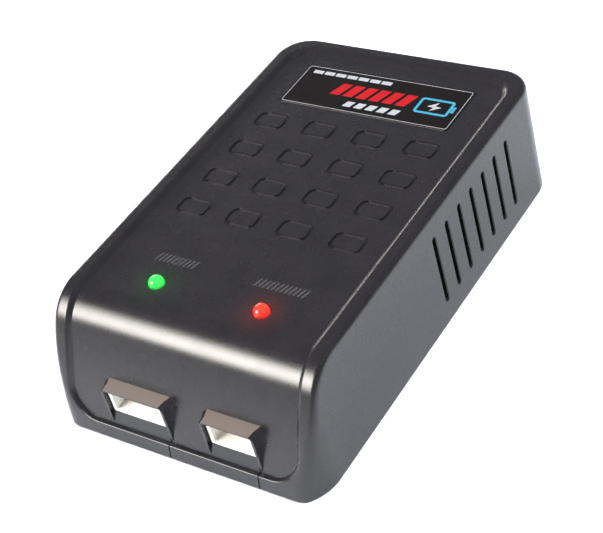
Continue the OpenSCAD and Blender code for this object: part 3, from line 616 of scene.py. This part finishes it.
def wall_patches(form, low_edge, front_rows, side_end):
    """Walls below the rounded edge: one patch round the front corner to side_end, and one
    from there round the back to the middle of the back wall."""
    left = unrolled(form, low_edge[:front_rows + 1])
    top = unrolled(form, low_edge[front_rows:side_end + 1])
    eta, xi = fractions(left), fractions(top)
    right = np.stack([np.full_like(eta, top[-1, 0]),
                      form.base_z + eta * (top[-1, 1] - form.base_z)], -1)
    bottom = np.stack([left[0, 0] + xi * (top[-1, 0] - left[0, 0]),
                       np.full_like(xi, form.base_z)], -1)
    e, x = eta[:, None, None], xi[None, :, None]
    flat = ((1 - e) * bottom[None] + e * top[None] + (1 - x) * left[:, None] + x * right[:, None]
            - (1 - e) * (1 - x) * left[0] - (1 - e) * x * right[0]
            - e * (1 - x) * left[-1] - e * x * right[-1])
    x_out, y = form.outline_point(flat[..., 0])
    z = flat[..., 1]
    front = form.settle(np.stack([x_out - draft(z), y, z], -1), (1.0, 1.0, 0.0))
    front[:, 0] = low_edge[:front_rows + 1]
    front[-1] = low_edge[front_rows:side_end + 1]
    rest = low_edge[side_end:]
    levels = right[:, 1]
    share = np.clip(rest[:, 0] / BACK_AT[0], 0, 1)
    drop = (rest[None, :, 2] - levels[:, None]) / CASE_H
    back = np.stack([rest[None, :, 0] + SIDE_DRAFT * share[None] * drop,
                     np.broadcast_to(rest[None, :, 1], drop.shape), spread(levels, drop.shape)], -1)
    back[-1] = rest
    return front, back


def base_patch(form, loop):
    """Rounded bottom edge below the lowest loop of points."""
    out = form.gradient(loop) * [1, 1, 0]
    out /= np.linalg.norm(out, axis=1)[:, None]
    rings = []
    for turn in np.radians([0, 30, 60, 90]):
        ring = loop - out * form.base_z * (1 - cos(turn))
        ring[:, 2] = form.base_z * (1 - sin(turn))
        rings.append(ring)
    return np.stack(rings)


def case_solid(name, form, rows, columns, fixed_x, relief=None, steps=5, round_base=True):
    """Closed solid of the case from its patches, mirrored to the left."""
    base, wrap, normal = wrap_patch(form, rows, columns, fixed_x, relief)
    front_rows = int(np.searchsorted(rows, form.v_split))
    side_end = int(np.searchsorted(rows, SIDE_SPLIT_Y))
    fillet = fillet_patch(form, base, normal, steps)
    front, back = wall_patches(form, fillet[:, -1], front_rows, side_end)
    patches = [wrap, fillet, front, back]
    if round_base:
        loop = np.concatenate([base[0, :-1], fillet[0, :-1], front[0, :-1], back[0]])
        patches.append(base_patch(form, loop))
    return welded(name, patches)


def welded(name, patches):
    """One closed mesh from grids of points on the right half, mirrored, with its base filled."""
    points, faces, start = [], [], 0
    for patch in patches:
        for flip in (1, -1):
            rows, columns = patch.shape[:2]
            points.append(patch.reshape(-1, 3) * [flip, 1, 1])
            index = start + np.arange(rows * columns).reshape(rows, columns)
            faces.append(np.stack([index[:-1, :-1], index[1:, :-1], index[1:, 1:],
                                   index[:-1, 1:]], -1).reshape(-1, 4))
            start += rows * columns
    mesh = bpy.data.meshes.new(name)
    mesh.from_pydata(np.concatenate(points), [], np.concatenate(faces).tolist())
    bm = bmesh.new()
    bm.from_mesh(mesh)
    bmesh.ops.remove_doubles(bm, verts=bm.verts, dist=0.003)
    bmesh.ops.dissolve_degenerate(bm, edges=bm.edges, dist=0.001)
    bmesh.ops.holes_fill(bm, edges=[e for e in bm.edges if e.is_boundary], sides=0)
    bpy.data.meshes.remove(mesh)
    return from_bmesh(name, bm)


# ---- The case's outer and inner forms ----

def round_box_distance(x, y, half_x, half_y, radius):
    """Signed distance to a rectangle with round corners."""
    dx, dy = np.abs(x) - half_x + radius, np.abs(y) - half_y + radius
    return np.hypot(np.maximum(dx, 0), np.maximum(dy, 0)) + np.minimum(np.maximum(dx, dy), 0) - radius


def top_relief(x, v):
    """Height of the top's surface against the plain case: the sunken panel. Its wall has a
    round lip and a sharp foot; it is gentle at the back and steep at the front."""
    low = OUTER.v_at_height(PANEL_FRONT_Z)
    middle, half = (PANEL_BACK + low) / 2, (PANEL_BACK - low) / 2
    ahead = v < middle
    radius = np.where(ahead, PANEL_R[0], PANEL_R[1])
    panel = round_box_distance(x, v - middle, PANEL_HALF_W, half, radius)
    side = smooth((np.abs(x) - PANEL_HALF_W + radius) / radius)
    across = np.where(ahead, FRONT_SLOPE, BACK_SLOPE)
    width = across + (SIDE_SLOPE - across) * side
    return -PANEL_DEPTH * np.clip(0.5 - panel / width, 0.0, 1.0) ** 2


OUTER = CaseForm()


def outer_rows():
    """Rows of the top and front: close together at the panel's edges and along its back."""
    panel_low = OUTER.v_at_height(PANEL_FRONT_Z)
    stops = [(OUTER.v_base, 0.3), (panel_low - 0.5, 0.1), (panel_low + 0.6, 0.14),
             (panel_low + 6.2, 0.6), (OUTER.v_split, 0.45), (BROW_Y, 0.9), (SIDE_SPLIT_Y, 1.2),
             (PANEL_BACK - 5.2, 0.14), (PANEL_BACK + BACK_SLOPE / 2, 0.3),
             (HALF_L - EDGE_R, None)]
    rows = grid_lines(stops)
    turn = BACK_AT[1] + (BACK_R - EDGE_R) * np.sin(np.radians([50, 58, 66, 74, 82]))
    return np.concatenate([rows[rows < turn[0] - 0.1], turn, [HALF_L - EDGE_R]])


def outer_columns():
    fixed = PANEL_HALF_W - PANEL_R[0]
    return grid_lines([(0.0, 1.2), (fixed, 0.15), (PANEL_HALF_W - 0.7, 0.1),
                       (PANEL_HALF_W + 0.8, 0.3), (HALF_W - EDGE_R - SIDE_DRAFT, None)]), fixed


def outer_case(name):
    columns, fixed_x = outer_columns()
    return case_solid(name, OUTER, outer_rows(), columns, fixed_x, top_relief)


def inner_case(name, top, side, base_z):
    """Plain solid inside the case, moved in by top and side."""
    form = CaseForm(top, side, edge=0.4, base_z=base_z)
    rows = grid_lines([(form.v_base, 2.0), (form.v_split, 1.2), (BROW_Y, 3.4), (SIDE_SPLIT_Y, 8.0),
                       (BACK_AT[1], 0.5), (form.half_l - form.edge, None)])
    columns = grid_lines([(0.0, 4.0), (20.0, 1.5), (form.half_w - form.edge - SIDE_DRAFT, None)])
    return case_solid(name, form, rows, columns, 20.0, steps=2, round_base=False)


# ---- The case ----

def passage(box, y0, y1):
    """Cutter for what stands in a wall, from below the base up to the top of its box."""
    low, high = box
    return block("cut", low[0] - SHELL_GAP, high[0] + SHELL_GAP, y0, y1, -2 * PAST, high[2] + SHELL_GAP)


def vent_cutter(y, side):
    """Upright slot through one side wall, with a slightly flared mouth."""
    half_h = (VENT_Z[1] - VENT_Z[0]) / 2
    mid_z = (VENT_Z[1] + VENT_Z[0]) / 2
    rings = []
    for u, flare in ((HALF_W + PAST, VENT_FLARE), (HALF_W, VENT_FLARE), (HALF_W - VENT_FLARE, 0),
                     (HALF_W - 2 * SIDE_WALL, 0)):
        outline = round_rectangle(VENT_W / 2 + flare, half_h + flare, VENT_W / 2 + flare - 0.01,
                                  (y, mid_z))
        rings.append([(side * (u - draft(b)), a, b) for a, b in outline])
    return loft("cut", rings)


def lens_cutter(box):
    """Hole for an indicator, slightly wider at the panel."""
    mouth = LENS_HOLE_R + LENS_HOLE_RIM
    return lathe("cut", [(LENS_HOLE_R, CASE_H - 5), (LENS_HOLE_R, PANEL_Z - LENS_HOLE_RIM),
                         (mouth, PANEL_Z), (mouth, CASE_H + PAST)], middle(box)[:2])


def hood(size):
    """Hood that stands out of the sloping front round a socket, with two chamfers above."""
    low, high = SOCKETS[size]
    mid = (low[0] + high[0]) / 2
    half = (high[0] - low[0]) / 2 + SHELL_GAP + HOOD_WALL
    top = high[2] + SHELL_GAP + HOOD_TOP
    levels = [(z, 0.0, 1.0) for z in np.linspace(PANEL_FRONT_Z + 0.4, top - HOOD_CHAMFER, HOOD_LEVELS)]
    levels.append((top, HOOD_CHAMFER, 0.6))
    rings = []
    for z, cut, flare in levels:
        side = hood_side(z, half - cut, flare)
        rings.append([(mid + x, y, z) for x, y in side] + [(mid - x, y, z) for x, y in reversed(side)])
    return loft("hood", rings)


def hood_side(z, half, flare):
    """Right outline of a hood at a height, from its face back into the front of the case."""
    front = front_surface_y(z)
    depth = max(front - HOOD_FACE_Y, 0.02)
    deepest = front_surface_y(SOCKETS["3s"][1][2]) - HOOD_FACE_Y
    points = [(half - HOOD_CORNER, HOOD_FACE_Y), (half, HOOD_FACE_Y + min(HOOD_CORNER, depth / 4))]
    for share, bulge in HOOD_FLARE:
        points.append((half + flare * bulge * depth / deepest, front - depth * share))
    points.append((points[-1][0] + 0.4 * flare, front + HOOD_REACH))
    return points


def front_surface_y(z):
    """y of the sunken front panel at a height."""
    return float(OUTER.profile_point(np.array(OUTER.v_at_height(z)))[0]) + PANEL_DEPTH


def ring_cutter(x, y):
    """Band with nearly upright walls, for one ring groove."""
    loops = []
    for share, depth in ((-1.05, 0.5), (-0.95, -RING_DEPTH), (0.95, -RING_DEPTH), (1.05, 0.5)):
        grow = share * RING_HALF
        outline = round_rectangle(RING_LINE[0] + grow, RING_LINE[1] + grow, RING_R + grow, (x, y), 8)
        loops.append([(a, b, PANEL_Z + depth) for a, b in outline])
    return band("ring", loops)


def at_each(change, target, places, profile, sides):
    """Adds the same turned solid to a piece, or cuts it away, at each place."""
    for at in places:
        change(target, lathe("tool", profile, at, sides=sides))


def case_inside():
    """What the case leaves open: its room round the screw bosses, and every opening."""
    inside = inner_case("inside", TOP_WALL, SIDE_WALL, -PAST)
    boss = [(BOSS_R, POST_TOP), (BOSS_R, CASE_H - TOP_WALL + 0.6)]
    at_each(cut, inside, CASE_SCREWS, boss, 32)
    cutters = [passage(box, -HALF_L - PAST, PORT_BACK_Y) for box in SOCKETS.values()]
    cutters.append(passage(INLET, HALF_L - 6, HALF_L + PAST))
    cutters += [lens_cutter(box) for box in LEDS.values()]
    cutters += [vent_cutter(VENT_FIRST_Y + k * VENT_PITCH, side)
                for k in range(VENT_COUNT) for side in (-1, 1)]
    for cutter in cutters:
        add(inside, cutter)
    at_each(add, inside, CASE_SCREWS, [(BOSS_BORE_R, POST_TOP - 1), (BOSS_BORE_R, BOSS_BORE_TOP)], 24)
    return inside


def upper_shell():
    outer = outer_case("case_top")
    add(outer, join("hoods", [hood(size) for size in SOCKETS]))
    rings = [ring_cutter(i * RING_PITCH[0], RING_FIELD_Y + j * RING_PITCH[1])
             for i in RING_STEPS for j in RING_STEPS]
    cut(outer, join("rings", rings))
    cut(outer, case_inside())
    finished(outer, plastic_black(), ["upper_shell"])


def shell_tongues():
    """Blocks of the case's own form that fill its slots below the sockets and the inlet."""
    front = BOARD_TOP + TONGUE_RISE
    back = BOARD_TOP - TONGUE_DROP
    boxes = [(low[0] - 0.13, high[0] - 0.1, -HALF_L - PAST, HOOD_BACK_Y, front)
             for low, high in SOCKETS.values()]
    boxes.append((INLET[0][0], INLET[1][0], 42, HALF_L + PAST, back))
    blocks = [block("tongue", x0, x1, y0, y1, -PAST, top) for x0, x1, y0, y1, top in boxes]
    tongues = combine(outer_case("case_base"), "INTERSECT", join("tongues", blocks))
    cut(tongues, inner_case("inside", TOP_WALL + 0.6, SIDE_WALL + 0.6, PLATE_T))
    behind = block("behind", -30, 30, SOCKETS["3s"][0][1] - 0.05, 30, back, 20)
    return cut(tongues, behind)


def shell_plate():
    """Plate with a lip, the screw posts and the bed of the rating label."""
    plate = inner_case("plate", TOP_WALL + SHELL_GAP, SIDE_WALL + SHELL_GAP, 0.0)
    hollow = inner_case("hollow", TOP_WALL + 1.6, SIDE_WALL + 1.4, PLATE_T)
    combine(plate, "INTERSECT", block("low", -40, 40, -60, 60, -PAST, LIP_TOP))
    cut(plate, hollow)
    at_each(add, plate, CASE_SCREWS, [(POST_R, 0.5), (POST_R, POST_TOP)], 40)
    at_each(add, plate, BOARD_SCREWS, [(BOARD_POST_R, 0.5), (BOARD_POST_R, BOARD_POST_TOP)], 32)
    counterbore = [(2.95, -PAST), (2.95, 0), (2.8, 0.15), (2.8, 2), (1.45, 2), (1.45, 5)]
    at_each(cut, plate, CASE_SCREWS, counterbore, 40)
    at_each(cut, plate, BOARD_SCREWS, [(1.1, 0.8), (1.1, 5)], 24)
    return cut(plate, prism("bed", round_rectangle(20, 13, 1.5), -PAST, 0.25))


def lower_shell():
    cover = add(shell_tongues(), shell_plate())
    finished(cover, moulded(*BASE_PLASTIC), ["lower_shell"])


# ---- Balance sockets ----

def socket_housing(size):
    """White housing with a polarising slot at each end and a hole for each contact."""
    low, high = SOCKETS[size]
    body = block("socket_housing_" + size, low[0], high[0], low[2], high[2], low[1], high[1], "Y",
                 bevel=0.12)
    mouth, wall, half = low[1] - PAST, SOCKET_WALL, PIN_SIDE / 2
    cuts = [(low[0] + wall, high[0] - wall, low[2] + wall, high[2] - wall, mouth, low[1] + SOCKET_DEPTH)]
    for side in (-1, 1):
        at = middle(SOCKETS[size])[0] + side * ((high[0] - low[0]) / 2 - SLIT_INSET)
        cuts.append((at - SLIT_W / 2, at + SLIT_W / 2, high[2] - 1.5, high[2] + PAST, mouth,
                     low[1] + SLIT_DEPTH))
    for x in contact_places(size):
        cuts.append((x - half, x + half, PIN_Z - half, PIN_Z + half, -40, high[1] + PAST))
    for x0, x1, z0, z1, y0, y1 in cuts:
        cut(body, block("cut", x0, x1, z0, z1, y0, y1, "Y"))
    finished(body, nylon_white(), ["balance_socket_" + size])


def contact_places(size):
    count = CONTACTS[size]
    mid = middle(SOCKETS[size])[0]
    return [mid + (k - (count - 1) / 2) * CONTACT_PITCH for k in range(count)]


def square_pin(x, tip_y, leg_y, z, foot_z):
    """Bent square pin: along Y from its pointed tip, then down."""
    half = PIN_SIDE / 2
    corners = ((-1, -1), (1, -1), (1, 1), (-1, 1))
    rings = [[(x + a * half * k, tip_y + d, z + b * half * k) for a, b in corners]
             for k, d in ((0.45, 0.0), (0.85, 0.3), (1.0, 0.5))]
    for level, reach in ((z, half), (foot_z, 0.0)):
        rings.append([(x + a * half, leg_y + (b > 0) * PIN_SIDE, level + b * reach) for a, b in corners])
    return loft("pin", rings)


def socket_pins(size):
    low, high = box_mm("balance_pins_" + size)
    pins = [square_pin(x, low[1], high[1] - PIN_SIDE, PIN_Z, low[2]) for x in contact_places(size)]
    pins = join("socket_pins_" + size, pins)
    finished(pins, metal(*TINNED), ["balance_pins_" + size])


# ---- Indicators ----

def lens(colour):
    """Round indicator: flange, barrel and domed top."""
    low, high = LEDS[colour]
    foot, top = low[2], high[2]
    flange = [(1.8, foot), (1.9, foot + 0.1), (1.9, foot + 0.9), (1.8, foot + 1.0), (LENS_R, foot + 1.05)]
    dome = [(LENS_R * cos(a), top - LENS_R + LENS_R * sin(a))
            for a in np.radians(range(0, 90, 9))]
    made = lathe(colour + "_lens", flange + dome + [(0.12, top)], middle(LEDS[colour])[:2], sides=40)
    finished(made, glowing_lens(colour), [colour + "_led"], sharp=40)


def indicator_marks():
    """Plain strokes behind each light, where a word would stand."""
    strokes = []
    for colour, count in MARK_COUNTS.items():
        at = middle(LEDS[colour])
        start = at[0] - (count - 1) * MARK_PITCH / 2 - MARK_W / 2
        for k in range(count):
            outline = slanted(start + k * MARK_PITCH, at[1] + MARK_AHEAD, MARK_W, MARK_H, MARK_LEAN)
            strokes.append(prism("stroke", outline, PANEL_Z - 0.15, PANEL_Z + PRINT_RISE))
    finished(join("indicator_marks", strokes), mark_grey())


# ---- Labels ----

def slanted(x, y, width, height, lean):
    """Outline of a bar that leans to the right."""
    shift = lean * height
    return [(x, y), (x + width, y), (x + width + shift, y + height), (x + shift, y + height)]


def inked(made, ink):
    made.data.materials.append(ink)
    return made


def printed(outline, levels, ink):
    return inked(prism("art", outline, *levels), ink)


def border(half_x, half_y, radius, width, at, levels, ink):
    """Flat closed band along the inside of a rounded rectangle."""
    outer = round_rectangle(half_x, half_y, radius, at)
    inner = round_rectangle(half_x - width, half_y - width, max(radius - width, 0.1), at)
    loops = [[(a, b, z) for a, b in line] for line, z in
             ((outer, levels[0]), (outer, levels[1]), (inner, levels[1]), (inner, levels[0]))]
    return inked(band("band", loops), ink)


def top_label():
    low, high = box_mm("top_label")
    mid = middle((low, high))
    half = (high - low) / 2
    sheet = prism("top_label_sheet", round_rectangle(half[0], half[1], 0.6, mid[:2]), low[2] - 0.1,
                  high[2], bevel=0.03, segments=1)
    finished(sheet, label_print("black"), ["top_label"])
    levels = (high[2] - 0.02, high[2] + PRINT_RISE)
    inks = {ink: label_print(ink) for ink in ("white", "red", "teal", "grey")}
    art = [border(half[0] - 0.35, half[1] - 0.35, 0.5, 0.13, mid[:2], levels, inks["grey"])]
    left, foot = mid[0] - half[0], mid[1] - half[1]
    for count, (x, y), pitch, size, lean, ink in LABEL_ROWS:
        for k in range(count):
            art.append(printed(slanted(left + x + k * pitch, foot + y, *size, lean), levels, inks[ink]))
    art += battery_sign((left + 31.4, foot + 6.0), levels, inks["teal"], inks["white"])
    finished(join("top_label_art", art), None)


def battery_sign(at, levels, colour, accent):
    """Generic sign of a cell: an outline with a cap and a bolt in it."""
    x, y = at
    cap = rectangle(x + 3.7, x + 4.3, y - 0.9, y + 0.9)
    bolt = [(x - 1.5, y - 0.1), (x + 0.5, y + 1.4), (x + 0.1, y + 0.25), (x + 1.5, y + 0.1),
            (x - 0.5, y - 1.4), (x - 0.1, y - 0.25)]
    return [border(3.6, 2.3, 0.7, 0.55, at, levels, colour), printed(cap, levels, colour),
            printed(bolt, levels, accent)]


def rating_label():
    """Plate under the case, with plain bars and a double square."""
    low, high = box_mm("rating_label")
    half = (high - low) / 2
    sheet = prism("rating_label_sheet", round_rectangle(half[0], half[1], 1.2), low[2], high[2] + 0.03)
    finished(sheet, label_print("silver"), ["rating_label"])
    levels = (low[2] - 0.01, low[2] + 0.02)
    ink = label_print("black")
    art = [border(half[0] - 0.8, half[1] - 0.8, 0.8, 0.2, (0, 0), levels, ink)]
    left = 3 - half[0]
    for k, width in enumerate(RATING_BARS):
        y = half[1] - 4.4 - k * 3.1
        art.append(printed(rectangle(left, left + width, y - 0.4, y + 0.4), levels, ink))
    for size in (2.6, 1.5):
        art.append(border(size, size, 0.3, 0.3, (half[0] - 5.2, -half[1] + 5.2), levels, ink))
    finished(join("rating_label_art", art), None)


# ---- Mains inlet and case screws ----

def lobes_outline(radius, steps=18):
    """Figure of eight: two round lobes and the notch between them."""
    points = []
    half = LOBE_PITCH / 2
    sweep = pi - acos(half / radius)
    for side in (1, -1):
        for k in range(steps + 1):
            a = -sweep + 2 * sweep * k / steps
            points.append((side * (half + radius * cos(a)), INLET_Z + side * radius * sin(a)))
    return points


def mains_inlet():
    low, high = INLET
    body = block("mains_inlet_housing", low[0], high[0], low[2], high[2], low[1], high[1], "Y", bevel=0.3)
    rings = []
    for y, grow in ((HALF_L + PAST, RECESS_FLARE), (high[1], RECESS_FLARE),
                    (high[1] - RECESS_FLARE, 0), (high[1] - RECESS, 0)):
        rings.append([(a, y, b) for a, b in lobes_outline(LOBE_R + grow)])
    cut(body, loft("cut", rings))
    for x in INLET_PINS_X:
        hole = [(INLET_LEG_R, low[1] - PAST), (INLET_LEG_R, HALF_L - 10)]
        cut(body, lathe("cut", hole, (x, INLET_Z), "Y", sides=24))
    finished(body, moulded(*INLET_PLASTIC), ["ac_inlet"])


def inlet_pins():
    """Round pins, each with a thinner root in the moulding and a leg down to the board."""
    low, high = box_mm("inlet_pins")
    radius, floor_y, tip = INLET_PIN_R, INLET[1][1] - RECESS, high[1]
    root_y = low[1] + 0.6
    nose = [(radius * cos(a), tip - 0.9 + 0.9 * sin(a)) for a in np.radians(range(0, 90, 15))]
    profile = [(INLET_LEG_R, root_y), (INLET_LEG_R, floor_y), (radius, floor_y + 0.01)] + nose
    leg = [(0.55, low[2]), (0.6, low[2] + 0.2), (0.6, INLET_Z)]
    pins = []
    for x in INLET_PINS_X:
        pins.append(lathe("pin", profile + [(0.1, tip)], (x, INLET_Z), "Y", sides=32))
        pins.append(lathe("leg", leg, (x, root_y), "Z", sides=20))
    finished(join("mains_inlet_pins", pins), metal(*BRASS), ["inlet_pins"])


def case_screws():
    """Self-tapping screws with cross recesses in the underside."""
    low, high = box_mm("case_screws")
    z0, z1 = low[2], low[2] + SCREW_HEAD_H
    profile = [(SCREW_HEAD_R - 0.5, z0), (SCREW_HEAD_R - 0.1, z0 + 0.25), (SCREW_HEAD_R, z0 + 0.6),
               (SCREW_HEAD_R, z1), (SCREW_R, z1)]
    for k in range(SCREW_TURNS):
        z = z1 + 0.2 + (high[2] - z1 - 0.8) * k / SCREW_TURNS
        profile += [(SCREW_R - 0.25, z), (SCREW_R, z + 0.2)]
    profile.append((0.3, high[2]))
    screws = []
    for x, y in CASE_SCREWS:
        screw = lathe("screw", profile, (x, y), sides=28)
        for a, b in ((1.4, 0.35), (0.35, 1.4)):
            cut(screw, block("cut", x - a, x + a, y - b, y + b, z0 - PAST, z0 + 0.8))
        screws.append(screw)
    finished(join("case_screw_set", screws), metal(*BLACK_STEEL), ["case_screws"])


# ---- Materials ----

def principled(name, colour, **sockets):
    material = bpy.data.materials.new(name)
    material.use_nodes = True
    shader = material.node_tree.nodes["Principled BSDF"]
    shader.inputs["Base Color"].default_value = (*colour, 1)
    for socket, value in sockets.items():
        shader.inputs[socket.replace("_", " ")].default_value = value
    return material, material.node_tree, shader


def node(tree, kind, inputs=None, **settings):
    made = tree.nodes.new("ShaderNode" + kind)
    for key, value in settings.items():
        setattr(made, key, value)
    for key, value in (inputs or {}).items():
        if isinstance(value, bpy.types.NodeSocket):
            tree.links.new(value, made.inputs[key])
        else:
            made.inputs[key].default_value = value
    return made


def maths(tree, operation, one, two, kind="Math"):
    """Result of a Math or VectorMath node."""
    out = "Value" if kind == "Math" or operation == "DISTANCE" else "Vector"
    return node(tree, kind, {0: one, 1: two}, operation=operation).outputs[out]


def mapped(tree, value, ends, low, high, clamp=True):
    """Maps the range between two ends onto another."""
    inputs = {"Value": value, "From Min": ends[0], "From Max": ends[1], "To Min": low, "To Max": high}
    return node(tree, "MapRange", inputs, clamp=clamp).outputs["Result"]


def parts(tree, kind, output):
    """x, y and z of a coordinate or a direction."""
    return node(tree, "SeparateXYZ", {"Vector": node(tree, kind).outputs[output]}).outputs


def noise(tree, size, detail=2.0, stretch=(1, 1, 1)):
    """Noise whose cells are about size millimetres, in object coordinates."""
    place = node(tree, "TexCoord").outputs["Object"]
    if stretch != (1, 1, 1):
        place = node(tree, "Mapping", {"Vector": place, "Scale": stretch}).outputs["Vector"]
    inputs = {"Vector": place, "Scale": 1 / (size * MM), "Detail": detail}
    return node(tree, "TexNoise", inputs).outputs["Fac"]


def mottle(tree, size, detail=2.0, low=0, high=1, stretch=(1, 1, 1)):
    """Noise with its middle mapped onto a range."""
    return mapped(tree, noise(tree, size, detail, stretch), (0.15, 0.85), low, high, clamp=False)


def tinted(tree, shader, factor, one, two, into="Base Color"):
    """Colour that drifts between two colours."""
    mix = node(tree, "Mix", {"Factor": factor, "A": (*one, 1), "B": (*two, 1)}, data_type="RGBA")
    tree.links.new(mix.outputs["Result"], shader.inputs[into])


def bumped(tree, shader, height, depth):
    bump = node(tree, "Bump", {"Height": height, "Distance": depth * MM, "Strength": 1.0})
    tree.links.new(bump.outputs["Normal"], shader.inputs["Normal"])


def moulded(name, one, two, roughness, drift=6.0, grain=0.5, depth=0.0012, **sockets):
    """Moulded plastic: fine spark-eroded grain, drifting colour and gloss."""
    material, tree, shader = principled(name, one, **sockets)
    tinted(tree, shader, mottle(tree, drift, 3), one, two)
    tree.links.new(mottle(tree, drift * 0.45, 4, *roughness), shader.inputs["Roughness"])
    bumped(tree, shader, noise(tree, grain, 1), depth)
    return material


def plastic_black():
    material = moulded(*CASE_PLASTIC)
    tree = material.node_tree
    shader = tree.nodes["Principled BSDF"]
    paint_led_glow(tree, shader)
    frost_and_paint_sheen_on_hood_tops(tree, shader)
    return material


def paint_led_glow(tree, shader):
    """Painted light of the indicators: the plastic round each one glows in its colour, fading with
    distance.
    """
    place = node(tree, "TexCoord").outputs["Object"]
    total = None
    for colour, strength in PAINTED_LED_GLOW.items():
        at = Vector((*middle(LEDS[colour])[:2], PANEL_Z)) * MM
        reach = maths(tree, "DISTANCE", place, at, "VectorMath")
        near = mapped(tree, reach, GLOW_REACH, 1.0, 0.0)
        tint = [strength * c for c in LENS_COLOURS[colour][0]]
        light = node(tree, "VectorMath", {0: tint, "Scale": maths(tree, "POWER", near, GLOW_FALL)},
                     operation="SCALE").outputs["Vector"]
        total = maths(tree, "ADD", total, light, "VectorMath") if total else light
    tree.links.new(total, shader.inputs["Emission Color"])
    shader.inputs["Emission Strength"].default_value = 1.0


def frost_and_paint_sheen_on_hood_tops(tree, shader):
    """Rougher plastic on the level tops of the two hoods, with a paler colour there that is a painted
    sheen: the light those tops catch, painted into the plastic.
    """
    place = parts(tree, "TexCoord", "Object")
    facing = parts(tree, "NewGeometry", "True Normal")
    top = SOCKETS["3s"][1][2]
    mask = maths(tree, "LESS_THAN", place["Y"], HOOD_BACK_Y * MM)
    for operation, value, limit in (("LESS_THAN", place["Z"], (top + 1.6) * MM),
                                    ("GREATER_THAN", place["Z"], (top + 0.1) * MM),
                                    ("GREATER_THAN", facing["Z"], 0.9)):
        mask = maths(tree, "MULTIPLY", mask, maths(tree, operation, value, limit))
    for name, hood_top_look in FROST_AND_PAINTED_SHEEN.items():
        old = shader.inputs[name].links[0].from_socket
        mix = node(tree, "Mix", {"Factor": mask, "A": old, "B": hood_top_look}, data_type="RGBA")
        tree.links.new(mix.outputs["Result"], shader.inputs[name])


def nylon_white():
    return moulded("socket_plastic", (0.86, 0.85, 0.80), (0.80, 0.79, 0.73), (0.35, 0.45), 2.5,
                   Subsurface_Weight=0.15, Subsurface_Scale=0.4 * MM)


def mark_grey():
    one, two = (0.006, 0.006, 0.007), (0.026, 0.025, 0.027)
    material, tree, shader = principled("mark_print", one, Roughness=0.6)
    tinted(tree, shader, mottle(tree, 0.22), one, two)
    bumped(tree, shader, noise(tree, 0.22), 0.03)
    return material


def label_print(ink):
    """Printed film: even ink with a slight mottle under a glossy face."""
    one, two = LABEL_INKS[ink]
    material, tree, shader = principled("label_" + ink + "_ink", one, Specular_IOR_Level=0.3,
                                        Metallic=0.6 if ink == "silver" else 0.0)
    tinted(tree, shader, mottle(tree, 0.5, 3), one, two)
    tree.links.new(mottle(tree, 3, 2, 0.16, 0.26), shader.inputs["Roughness"])
    bumped(tree, shader, noise(tree, 2.5), 0.01)
    return material


def glowing_lens(colour):
    """Tinted epoxy with light inside it."""
    one, two = LENS_COLOURS[colour]
    material, tree, shader = principled(colour + "_epoxy", one, Roughness=0.1, Emission_Strength=LENS_GLOW)
    factor = mottle(tree, 0.7)
    for into in ("Base Color", "Emission Color"):
        tinted(tree, shader, factor, one, two, into)
    bumped(tree, shader, noise(tree, 0.4, 1), 0.01)
    return material


def metal(name, one, two, roughness, stretch=(1, 1, 1)):
    """Metal with a fine grain, drawn out along an axis where it is rolled or drawn."""
    material, tree, shader = principled(name, one, Metallic=1.0)
    tinted(tree, shader, mottle(tree, 1.2, 3), one, two)
    tree.links.new(mottle(tree, 0.15, 2, *roughness, stretch), shader.inputs["Roughness"])
    bumped(tree, shader, noise(tree, 0.15, 2, stretch), 0.004)
    return material


def dress_inner_parts():
    """Finish of each CAD node that stays: what is inside the case."""
    for make, rows in ((moulded, INNER_COATS), (metal, INNER_METALS)):
        for names, *look in rows:
            material = make(*look)
            for name in names.split():
                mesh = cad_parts[name].data
                if not mesh.materials:
                    mesh.materials.append(material)
                for index in range(len(mesh.materials)):
                    mesh.materials[index] = material


# ---- Stage, light and camera ----

def stage():
    bm = bmesh.new()
    bmesh.ops.create_grid(bm, x_segments=8, y_segments=8, size=1.6)
    floor = from_bmesh("floor", bm)
    material, tree, shader = principled("floor_paper", FLOOR_TINTS[0], Roughness=0.8)
    tinted(tree, shader, mottle(tree, 4), *FLOOR_TINTS)
    floor.data.materials.append(material)


def sky():
    """Pale surroundings, brighter low down than overhead."""
    world = bpy.data.worlds.new("studio")
    scene.world = world
    world.use_nodes = True
    tree = world.node_tree
    background = tree.nodes["Background"]
    background.inputs["Color"].default_value = (0.88, 0.93, 1.0, 1)
    height = parts(tree, "TexCoord", "Generated")["Z"]
    tree.links.new(mapped(tree, height, *SKY_STRENGTH), background.inputs["Strength"])


def lights():
    for name, place, aim, size, power, colour, spread, glossy in LIGHTS:
        data = bpy.data.lights.new(name, "AREA")
        data.shape = "RECTANGLE"
        data.size, data.size_y = size
        data.energy = power
        data.color = colour
        data.spread = radians(spread)
        made = new_object(name, data)
        made.location = place
        made.rotation_euler = (Vector(aim) - Vector(place)).to_track_quat("-Z", "Y").to_euler()
        made.visible_glossy = glossy


def camera():
    """Camera at the photographer's place: in front, to the right and above."""
    data = bpy.data.cameras.new("view")
    data.sensor_width = 36.0
    data.lens = LENS_MM
    made = new_object("view", data)
    place, aim = Vector(CAMERA_AT) * MM, Vector(CAMERA_AIM) * MM
    turn = (aim - place).to_track_quat("-Z", "Y").to_matrix().to_4x4()
    roll = Matrix.Rotation(radians(CAMERA_ROLL), 4, "Z")
    made.matrix_world = Matrix.Translation(place) @ turn @ roll
    bpy.context.scene.camera = made


# ---- The scene ----

camera()
stage()
sky()
lights()
scene.view_settings.view_transform = "Standard"
upper_shell()
lower_shell()
for socket_name in SOCKETS:
    socket_housing(socket_name)
    socket_pins(socket_name)
for lens_name in LEDS:
    lens(lens_name)
indicator_marks()
top_label()
rating_label()
mains_inlet()
inlet_pins()
case_screws()
dress_inner_parts()
